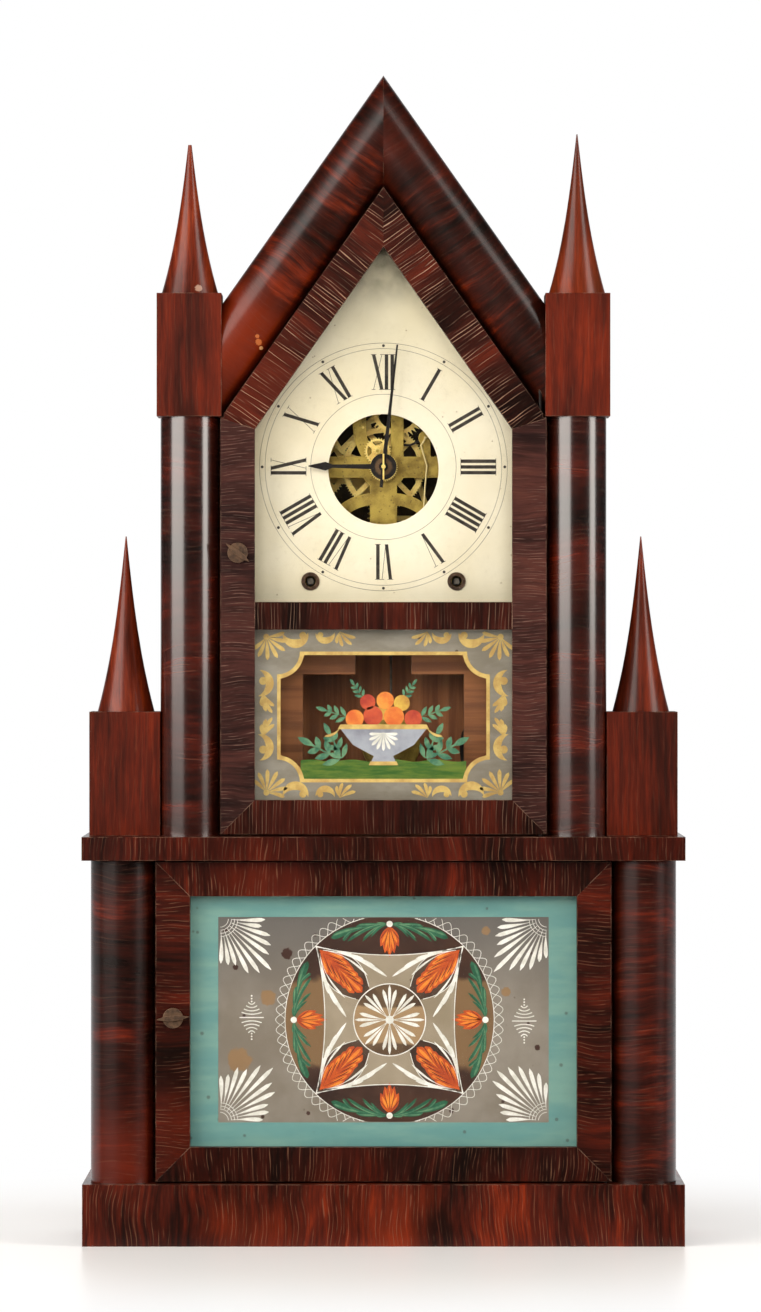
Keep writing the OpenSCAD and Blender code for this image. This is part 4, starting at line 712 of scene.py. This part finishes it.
def square_like(outline):
    """Each point of an outline pushed out to the edge of the glass."""
    middle, tall = (EDGE_LOW + EDGE_HIGH) / 2, EDGE_HIGH - EDGE_LOW
    out = []
    for x, z in outline:
        dx, dz = x / PANEL_HALF, (z - (PANEL_LOW + PANEL_HIGH) / 2) / ((PANEL_HIGH - PANEL_LOW) / 2)
        if abs(dx) > abs(dz):
            out.append((math.copysign(EDGE_HALF, dx), middle + dz / abs(dx) * tall / 2))
        else:
            out.append((dx / abs(dz) * EDGE_HALF, middle + math.copysign(tall / 2, dz)))
    return out


gilt = paint("gilding", rgb(214, 184, 106), rgb(186, 150, 82), scale=150.0, rough=0.35)
border_grey = paint("blue grey ground", rgb(148, 143, 130), rgb(122, 114, 98), scale=26.0, flecks=0.8,
                    streaks=(1.0, 1.0, 2.4))
panel = panel_outline(0.0)
on_upper("upper_ground", ring_between(square_like(panel), panel), 3, border_grey)
on_upper("upper_panel_line", ring_between(panel_outline(-0.0004), panel_outline(0.0020)), 1, gilt)


def spray(root, turn, size, count, spread):
    """A fan of strokes from a root."""
    shapes = []
    for i in range(count):
        share = i / (count - 1) - 0.5
        length = size * (1 - 0.9 * share * share)
        shapes.append(tear(root, turn + spread * share, length, size * 0.17, 0.35 * share))
    return shapes


def crescent(centre, r, start, sweep, thick, steps=14):
    """A scroll that swells in the middle of its curve."""
    outer, inner = [], []
    for i in range(steps + 1):
        t = i / steps
        half = max(0.00005, thick / 2 * math.sin(math.pi * t))
        outer.append(polar(r + half, start + sweep * t, centre))
        inner.append(polar(r - half, start + sweep * t, centre))
    return outer + list(reversed(inner))


BORDER_Z = ((0.2546, 1), (0.3500, -1))  # foot and top, and which way is inwards
SIDE_Z = ((0.2835, 1), (0.3205, -1))
SCROLLS = (  # x, radius, start, sweep and thickness of a scroll; x, rise and radius of its bead
    (0.0505, 0.0074, 12, 160, 0.0050, 0.0462, 0.0022, 0.0021),
    (0.0335, 0.0056, 15, 155, 0.0038, 0.0362, 0.0020, 0.0017),
)
EDGE_DROPS = ((62, 0.0070), (88, 0.0086), (120, 0.0100), (146, 0.0096))  # turn and length
SIDE_DROPS = ((66, 0.0070), (84, 0.0100), (100, 0.0118), (116, 0.0092))


def upper_border():
    """Gilt leaves of a common sort: sprays in the corners, scrolls along the edges, drops at the sides."""
    shapes = []
    for z, up in BORDER_Z:
        root = (0.0672, z + 0.0030 * up)
        shapes += spray(root, 118 * up, 0.0138, 7, 130) + [disc(root, 0.0017, 16)]
        for x, r, start, sweep, thick, bead_x, rise, bead in SCROLLS:
            shapes.append(crescent((x, z - 0.0004 * up), r, start * up, sweep * up, thick))
            shapes.append(disc((bead_x, z + rise * up), bead, 16))
        for turn, length in EDGE_DROPS:
            shapes.append(tear((0.0250, z), turn * up, length, 0.0021, 0.2 * up))
    for z, up in SIDE_Z:
        shapes.append(crescent((0.0728, z), 0.0076, 98 * up, 158 * up, 0.0046))
        shapes.append(disc((0.0690, z - 0.0012 * up), 0.0023, 16))
        for turn, length in SIDE_DROPS:
            shapes.append(tear((0.0688, z + 0.0062 * up), turn * up, length, 0.0023, 0.25 * up))
    return flipped(shapes)


on_upper("upper_border_leaves", upper_border(), 0.5, gilt, THIN_COAT, 3)

STRIP_LOW, STRIP_HIGH = PANEL_LOW + 0.0020, PANEL_LOW + 0.0125
green = paint("ground green", rgb(46, 92, 22), rgb(100, 122, 34), streaks=(1.0, 1.0, 7.0))
leaf_green = paint("leaf green", rgb(52, 106, 80), rgb(104, 146, 106), scale=160.0)
STRIP_HALF, STRIP_STEPS = 0.0475, 24
grass = []
for i in range(STRIP_STEPS):
    x0, x1 = (-STRIP_HALF + 2 * STRIP_HALF * k / STRIP_STEPS for k in (i, i + 1))
    z0, z1 = (STRIP_HIGH + 0.0007 * math.sin(x * 260) for x in (x0, x1))
    grass.append([(x0, STRIP_LOW), (x1, STRIP_LOW), (x1, z1), (x0, z0)])
on_upper("upper_ground_strip", grass, 3, green)

BOWL_Z = STRIP_HIGH - 0.0015
bowl_paint = paint("bowl grey", rgb(160, 164, 172), rgb(128, 130, 140))
BOWL_TOP = BOWL_Z + 0.0195


def tapered(half0, z0, half1, z1):
    return [(-half0, z0), (half0, z0), (half1, z1), (-half1, z1)]


foot, waist, flare = BOWL_Z, BOWL_Z + 0.004, BOWL_Z + 0.0105
bowl = [(-0.0075, foot), (0.0075, foot), (0.0055, waist), (0.0175, flare),
        (0.0245, BOWL_TOP), (-0.0245, BOWL_TOP), (-0.0175, flare), (-0.0055, waist)]
rims = [tapered(0.0262, BOWL_TOP, 0.0248, BOWL_Z + 0.0222),
        tapered(0.0085, BOWL_Z - 0.0012, 0.0075, BOWL_Z + 0.0010)]
handles = flipped([tear((0.0252, BOWL_Z + 0.020), -60, 0.0085, 0.0020, 0.6)])
on_upper("bowl", [bowl], 2, bowl_paint)
on_upper("bowl_rims", rims + handles, 1, gilt)
FRUIT_Z = BOWL_Z + 0.0225
fruits = {
    "orange": (paint("fruit orange", rgb(208, 96, 34), rgb(232, 150, 56), scale=90.0),
               [(-0.0165, 0.0030, 0.0052), (0.0060, 0.0042, 0.0058), (0.0010, 0.0135, 0.0050)]),
    "red": (paint("fruit red", rgb(158, 44, 30), rgb(204, 84, 44), scale=90.0),
            [(-0.0060, 0.0046, 0.0056), (0.0170, 0.0030, 0.0050), (-0.0090, 0.0126, 0.0044)]),
    "gold": (paint("fruit gold", rgb(214, 176, 70), rgb(180, 128, 50), scale=90.0),
             [(0.0105, 0.0120, 0.0046), (-0.0015, 0.0060, 0.0040)]),
}
for layer, (fruit, (material, spots)) in enumerate(fruits.items()):
    shapes = [disc((x, FRUIT_Z + z), r, 28) for x, z, r in spots]
    on_upper("fruit_" + fruit, shapes, 1.2 + 0.3 * layer, material, THIN_COAT, 2)
sprays = []
for root, turn, size in (((0.0250, BOWL_Z + 0.002), 28, 0.024), ((0.0235, BOWL_Z + 0.003), 62, 0.020),
                         ((0.0215, FRUIT_Z + 0.004), 18, 0.016), ((0.0120, FRUIT_Z + 0.0155), 55, 0.011)):
    for i in range(3):
        at = polar(size * 0.27 * i, turn, root)
        for way in (-1, 1):
            sprays.append(lens(at, polar(size * (0.44 - 0.06 * i), turn + way * 44, at), size * 0.075, 8))
    sprays.append(lens(polar(size * 0.7, turn, root), polar(size * 1.15, turn, root), size * 0.08, 8))
    sprays.append(tear(root, turn, size, size * 0.05))
on_upper("fruit_leaves", flipped(sprays), 2.3, leaf_green, THIN_COAT, 3)
chalk = paint("chalk white", rgb(236, 234, 224), rgb(206, 204, 190), scale=180.0)
on_upper("bowl_flutes", spray((0.0, BOWL_Z + 0.0175), -90, 0.0105, 9, 150), 1, chalk, THIN_COAT, 3)

# Lower tablet: teal border, grey field, lattice ring, concave square, rosette, leaves and tulips

FIELD_HALF = 0.0945
FIELD_LOW, FIELD_HIGH = 0.0692, 0.1867
STAR = (0.0035, 0.1279)
RING_IN, RING_OUT = 0.0598, 0.0652
SQUARE = 0.0422
DIP = 0.0052
SIDE_STEPS = 20
ROSETTE = 0.0206
CLIP = (FIELD_HIGH - FIELD_LOW) / 2 - 0.0004
TAN, DARK = rgb(140, 110, 76), rgb(66, 40, 30)
BLOTS = (  # x, z, radius and colour
    (-0.0660, 0.1404, 0.0050, TAN), (-0.0826, 0.1049, 0.0078, TAN), (-0.0552, 0.1656, 0.0034, DARK),
    (-0.0846, 0.1580, 0.0018, DARK), (0.0701, 0.1438, 0.0030, TAN), (0.0586, 0.1787, 0.0028, TAN),
    (-0.0905, 0.1790, 0.0016, DARK), (0.0880, 0.1120, 0.0018, DARK), (0.0390, 0.0760, 0.0017, DARK),
    (-0.0430, 0.0745, 0.0013, DARK),
)

teal = paint("teal border", rgb(118, 160, 148), rgb(96, 146, 142), scale=18.0, streaks=(1.0, 1.0, 5.0),
             flecks=0.5)
square_buff = paint("warm grey square", rgb(160, 146, 124), rgb(140, 126, 102), scale=24.0, flecks=0.6)
grey = paint("grey field", rgb(140, 132, 120), rgb(122, 112, 98), scale=24.0, flecks=1.0,
             upper=(0.130, 0.196, rgb(100, 95, 90)), patches=BLOTS)
# Painted where the glass is clear: painted shade of the inside of the case, with the tan of the paper label
# behind across the middle
shade = paint("dark ring field", rgb(78, 50, 36), rgb(52, 32, 24), scale=22.0,
              middle=(0.1250, 0.0260, rgb(124, 95, 62)))
lens_shade = paint("dark lens field", rgb(92, 70, 52), rgb(62, 42, 32), scale=30.0)
# The rosette's field is painted the same way: painted shade of the inside at the top and foot, with the
# label's tan across the middle
buff = paint("buff middle", rgb(112, 88, 60), rgb(80, 58, 40), scale=40.0, flecks=0.8,
             middle=(0.1250, 0.0105, rgb(160, 130, 92)))
white = paint("white line work", rgb(238, 236, 228), rgb(212, 210, 198), scale=180.0)
orange = paint("leaf orange", rgb(204, 88, 20), rgb(174, 64, 20), scale=160.0)
amber = paint("leaf amber", rgb(232, 138, 40), rgb(214, 110, 32), scale=160.0)
vein_brown = paint("leaf veins", rgb(104, 42, 18), rgb(80, 32, 18), scale=160.0)
dark_green = paint("leaf dark green", rgb(26, 84, 58), rgb(46, 106, 76), scale=160.0)


glass_half = LOWER_GLASS[1][0] - BARE_EDGE
glass_low, glass_high = LOWER_GLASS[0][2] + BARE_EDGE, LOWER_GLASS[1][2] - BARE_EDGE
on_lower("teal_border", [
    box_shape(-glass_half, glass_half, glass_low, FIELD_LOW),
    box_shape(-glass_half, glass_half, FIELD_HIGH, glass_high),
    box_shape(-glass_half, -FIELD_HALF, FIELD_LOW, FIELD_HIGH),
    box_shape(FIELD_HALF, glass_half, FIELD_LOW, FIELD_HIGH),
], 1, teal)
on_lower("grey_field", [box_shape(-FIELD_HALF, FIELD_HALF, FIELD_LOW, FIELD_HIGH)], 5, grey)


def clipped(shapes):
    """Leaves out what would pass the top or the foot of the field."""
    return [s for s in shapes if all(abs(z - STAR[1]) < CLIP for _, z in s)]


def held(outline):
    """The outline with its points kept inside the field."""
    return [(x, max(STAR[1] - CLIP, min(STAR[1] + CLIP, z))) for x, z in outline]


def star_side(t):
    """Half height of the concave square at share t of a side, pinched near its corners."""
    return SQUARE - DIP * math.sin(math.pi * t) ** 0.8


def square_outline():
    points = []
    for quarter in range(4):
        a = math.radians(90 * quarter)
        for i in range(SIDE_STEPS):
            t = i / SIDE_STEPS
            along, out = SQUARE * (2 * t - 1), star_side(t)
            points.append((STAR[0] + along * math.cos(a) + out * math.sin(a),
                           STAR[1] + along * math.sin(a) - out * math.cos(a)))
    return points


def square_corner(quarter, inset):
    return polar(SQUARE * math.sqrt(2) - inset, 45 + 90 * quarter, STAR)


square = square_outline()
on_lower("ring_field", [held(disc(STAR, RING_IN, 96))], 4, shade)
on_lower("square_field", [square], 3.6, square_buff, COAT / 2)
on_lower("rosette_field", [disc(STAR, ROSETTE, 64)], 2.6, buff, COAT / 2)
corner_lenses = []
for quarter in range(4):
    root = polar(ROSETTE - 0.0060, 45 + 90 * quarter, STAR)
    corner_lenses.append(lens(root, square_corner(quarter, 0.0008), 0.0104, 18))
on_lower("lens_fields", corner_lenses, 3.3, lens_shade, THIN_COAT)

lines = band(square, 0.0005, True) + circle_line(STAR, ROSETTE, 0.0006, 90)
lines += clipped(circle_line(STAR, RING_IN, 0.0004, 180))
for outline in corner_lenses:
    lines += [s for s in band(outline, 0.0004, True) if all(math.dist(p, STAR) > ROSETTE - 0.0002 for p in s)]
LOOPS = 34
WAVES = 408
for phase in (0.0, 0.5):
    wavy = []
    for i in range(WAVES):
        swing = math.cos(math.pi * 2 * (LOOPS * i / WAVES + phase))
        r = (RING_IN + RING_OUT) / 2 + (RING_OUT - RING_IN) / 2 * swing
        wavy.append(polar(r, 360 * i / WAVES, STAR))
    lines += clipped(band(wavy, 0.00032, True))
strokes = []
for i in range(8):
    a = 90 + 45 * i
    for side, length, wide in ((0, 0.0198, 0.0017), (-1, 0.0176, 0.0020), (1, 0.0176, 0.0020)):
        strokes.append(tear(polar(0.0016, a, STAR), a + side * 10.0, length - 0.0016, wide, 0.06 * side,
                            late=2.4, least=0.00012))
strokes.append(disc(STAR, 0.0024, 20))
SIDE_STROKES = (  # length, width and bend towards the corner leaf of the strokes beside it
    (0.0400, 0.0021, 0.275), (0.0290, 0.0014, 0.410), (0.0325, 0.0019, 0.180), (0.0255, 0.0017, 0.085),
    (0.0185, 0.0014, -0.005),
)
SIDE_TURN = 38.0
TIP_INSET = 0.0030
HAIR = 0.00013  # least half width of the long strokes
for quarter in range(4):
    corner = square_corner(quarter, TIP_INSET)
    for way in (-1, 1):
        a = 225 + 90 * quarter + way * SIDE_TURN
        start = polar(0.0020, a, corner)
        for length, wide, bend in SIDE_STROKES:
            strokes.append(tear(start, a, length - 0.0020, wide, -bend * way, 16, 6.0, HAIR))
for i in range(4):
    strokes.append(disc(polar(RING_IN - 0.0050, 90 * i, STAR), 0.0018, 18))
FAN = 11
for sx in (-1, 1):
    for sz, z in ((1, FIELD_LOW), (-1, FIELD_HIGH)):
        corner = (sx * (FIELD_HALF - 0.0010), z + sz * 0.0010)
        inward = math.degrees(math.atan2(sz, -sx))
        for i in range(FAN):
            share = i / (FAN - 1) - 0.5
            length = 0.0445 - 0.0185 * abs(2 * share) ** 0.8 - rng.uniform(0.0, 0.005)
            turn = inward + 82 * share
            start = 0.0070 + 0.003 * (i % 2)
            strokes.append(tear(polar(start, turn, corner), turn, length - start, 0.0024, 0.14 * share,
                                late=1.9, least=HAIR))
        for r in (0.0048, 0.0066, 0.0084, 0.0102):
            lines += circle_line(corner, r, 0.0003, 10, inward - 43, 86)
for middle in ((-0.0754, 0.1292), (0.0805, 0.1272)):
    for k in range(-4, 5):
        half = 0.0068 * (1 - abs(k) / 5.4)
        z = middle[1] + k * 0.0019
        arc = [(middle[0] + half * (j / 4 - 1), z + math.copysign(0.0010, k) * (j / 4 - 1) ** 2 * (k != 0))
               for j in range(9)]
        strokes += band(arc, 0.00060)
    for k in range(3):
        for way in (-1, 1):
            strokes.append(disc((middle[0], middle[1] + way * (0.0092 + 0.0016 * k)), 0.00050, 10))
on_lower("white_lines", lines, 0.4, white, THIN_COAT, 3)
on_lower("white_strokes", strokes, 1, white, THIN_COAT, 3)

ground, feathers, lights, veins = [], [], [], []
LOBES = 5
for quarter in range(4):
    inward = 225 + 90 * quarter
    tip = square_corner(quarter, TIP_INSET)
    ground.append(lens(tip, polar(0.0335, inward, tip), 0.0066, 18))
    feathers.append(tear(polar(0.018, inward, tip), inward, 0.0165, 0.0050))
    for k in range(LOBES):
        root = polar(0.0010 + 0.0046 * k, inward, tip)
        length = 0.0150 - 0.0006 * k
        for way in (-1, 1):
            turn = inward + way * (31.0 - 1.5 * k)
            feathers.append(tear(root, turn, length, 0.0048, -0.14 * way))
            lights.append(tear(polar(0.004, turn, root), turn, length - 0.0058, 0.0016, -0.10 * way))
            veins.append(tear(polar(0.002, inward, root), turn - way * 4, length * 0.86, 0.0005, -0.10 * way))
    lights.append(tear(polar(0.016, inward, tip), inward, 0.0175, 0.0018))
for i in range(4):
    inward = 90 * i + 180
    root = polar(RING_IN - 0.0062, 90 * i, STAR)
    for turn, length, bulge in ((-24, 0.0128, 0.0024), (24, 0.0128, 0.0024), (-10, 0.0158, 0.0024),
                                (10, 0.0158, 0.0024), (0, 0.0178, 0.0021)):
        petal = polar(length, inward + turn, root)
        feathers.append(lens(root, petal, bulge, 12))
        foot, head = (polar(r, inward + turn, root) for r in (0.003, length - 0.002))
        lights.append(lens(foot, head, 0.0007))
        veins.append(tear(root, inward + turn * 1.5, length * 0.72, 0.0004))
on_lower("leaf_veins", veins, 1.6, vein_brown, THIN_COAT, 2)
on_lower("leaf_ground", ground, 3.25, orange, THIN_COAT / 2)
on_lower("orange_leaves", feathers, 2.5, orange, THIN_COAT, 4)
on_lower("amber_leaves", lights, 2, amber, THIN_COAT, 3)

SWEEPS = (  # turn from the inward way, length, width, bend inwards and start along the ring
    (90.0, 0.0155, 0.0021, 0.60, 0.0), (93.0, 0.0235, 0.0025, 0.45, 0.0), (96.0, 0.0100, 0.0019, 0.80, 0.0),
    (92.0, 0.0190, 0.0028, 0.08, 0.0), (85.0, 0.0225, 0.0042, 0.19, 0.0115),
    (64.0, 0.0100, 0.0020, 0.30, 0.0190), (106.0, 0.0070, 0.0020, 0.20, 0.0),
)
greens, tips = [], []
for i in range(4):
    inward = 90 * i + 180
    root = polar(RING_IN - 0.0055, 90 * i, STAR)
    for way in (-1, 1):
        for turn, length, wide, bend, along in SWEEPS:
            start = polar(along, inward + way * 84, root)
            a = inward + way * turn
            greens.append(tear(start, a, length, wide, -bend * way, 12, least=0.00016))
            start = polar(0.0012, a, start)
            tips.append(tear(start, a + 2 * way, length * 0.88, wide * 0.30, -bend * way, 12))
on_lower("green_leaves", [held(s) for s in greens], 2.6, dark_green, THIN_COAT, 4)
on_lower("green_lights", [held(s) for s in tips], 2, leaf_green, THIN_COAT, 3)

# Floor, backdrop, lights and camera

WORLD_LEVEL = 0.42
WORLD_AHEAD = (0.80, 0.99)  # how straight back a reflection looks, from dim to white
LAMP_COLOUR = (1.0, 0.955, 0.89)
FRONT_LEVEL = 0.02  # what polished faces reflect from the camera's side
FLOOR_HALF = 4.0
FLOOR_FADE = (0.18, 0.50)
CAMERA_Y = -3.554
CAMERA_X, CAMERA_Z = -0.0017, 0.340
FRAME_TALL = 0.7463
FRAME_DISTANCE = 3.5
FRAME_DROP = -0.0040
AIM_Z = 0.40
LAMPS = (  # name, place, height aimed at, width, height, watts, and whether polish mirrors it
    ("left softbox", (-1.69, -1.45, 1.10), AIM_Z, 2.2, 1.6, 66, True),
    ("right softbox", (1.85, -0.95, 1.10), AIM_Z, 0.9, 1.6, 32, True),
    ("front fill", (0.0, -3.2, 1.3), AIM_Z, 1.6, 1.2, 42, False),
    ("back fill", (0.3, 2.4, 1.9), 0.35, 2.0, 1.2, 20, False),
)


def make_floor():
    mesh = bpy.data.meshes.new("floor")
    f = FLOOR_HALF
    mesh.from_pydata([(-f, -f, 0), (f, -f, 0), (f, f, 0), (-f, f, 0)], [], [(0, 1, 2, 3)])
    floor = new_object("floor", mesh)
    s = Shader("pale floor", roughness=0.30)
    soft = s.noise(s.place, 6.0, 3.0)
    s.colour(s.blend(soft, rgb(250, 248, 247), rgb(244, 243, 243)))
    preset(s.bsdf, {"Specular IOR Level": 0.25})
    fade = s.step(s.length(s.x, s.y), *FLOOR_FADE)
    paths = s.new("ShaderNodeLightPath")
    gloss = paths.outputs["Is Glossy Ray"]
    seen = s.math("MAXIMUM", gloss, paths.outputs["Is Transmission Ray"])
    seen = s.math("MAXIMUM", paths.outputs["Is Camera Ray"], seen)
    front = s.times(gloss, s.step(s.y, 0.02, -0.12))
    glow = s.new("ShaderNodeEmission")
    feed(glow.inputs["Strength"], s.minus(1.0, s.times(front, 1 - FRONT_LEVEL)))
    mixer = s.new("ShaderNodeMixShader")
    share = s.math("MAXIMUM", s.times(fade, seen), front)
    fill(mixer, share, s.bsdf.outputs[0], glow.outputs[0])
    feed(s.tree.nodes["Material Output"].inputs["Surface"], mixer.outputs[0])
    mesh.materials.append(s.material)


def make_world():
    """White where the camera and clear reflections look past the clock, dimmer on the camera's side."""
    world = bpy.data.worlds.new("studio")
    bpy.context.scene.world = world
    world.use_nodes = True
    tree = world.node_tree
    back = tree.nodes["Background"]
    preset(back, {"Color": (1, 1, 1, 1)})
    paths = tree.nodes.new("ShaderNodeLightPath")
    where = tree.nodes.new("ShaderNodeTexCoord")
    parts = tree.nodes.new("ShaderNodeSeparateXYZ")
    fill(parts, where.outputs["Generated"])
    ahead = tree.nodes.new("ShaderNodeMapRange")
    fill(ahead, parts.outputs["Y"], *WORLD_AHEAD, FRONT_LEVEL, 1.0)

    def choose(a, b, factor):
        node = tree.nodes.new("ShaderNodeMix")
        for index, value in ((0, factor), (2, a), (3, b)):
            feed(node.inputs[index], value)
        return node.outputs[0]

    level = choose(WORLD_LEVEL, ahead.outputs[0], paths.outputs["Is Glossy Ray"])
    level = choose(level, 1.0, paths.outputs["Is Transmission Ray"])
    level = choose(level, 1.0, paths.outputs["Is Camera Ray"])
    feed(back.inputs["Strength"], level)


def make_lamp(name, place, aim, wide, tall, watts, mirrored_in_polish):
    data = bpy.data.lights.new(name, "AREA")
    data.shape = "RECTANGLE"
    data.size, data.size_y = wide, tall
    data.energy = watts
    data.color = LAMP_COLOUR
    lamp = new_object(name, data)
    lamp.location = place
    lamp.rotation_euler = (Vector((0, 0, aim)) - Vector(place)).to_track_quat("-Z", "Y").to_euler()
    lamp.visible_glossy = mirrored_in_polish


def make_camera():
    data = bpy.data.cameras.new("camera")
    data.sensor_fit = "VERTICAL"
    data.lens = data.sensor_height * FRAME_DISTANCE / FRAME_TALL
    data.shift_y = FRAME_DROP / FRAME_TALL
    data.clip_end = 60
    camera = new_object("camera", data)
    camera.location = (CAMERA_X, CAMERA_Y, CAMERA_Z)
    camera.rotation_euler = (math.pi / 2, 0, 0)
    bpy.context.scene.camera = camera


make_floor()
make_world()
make_camera()
for lamp in LAMPS:
    make_lamp(*lamp)

bpy.context.scene.view_settings.view_transform = "Standard"
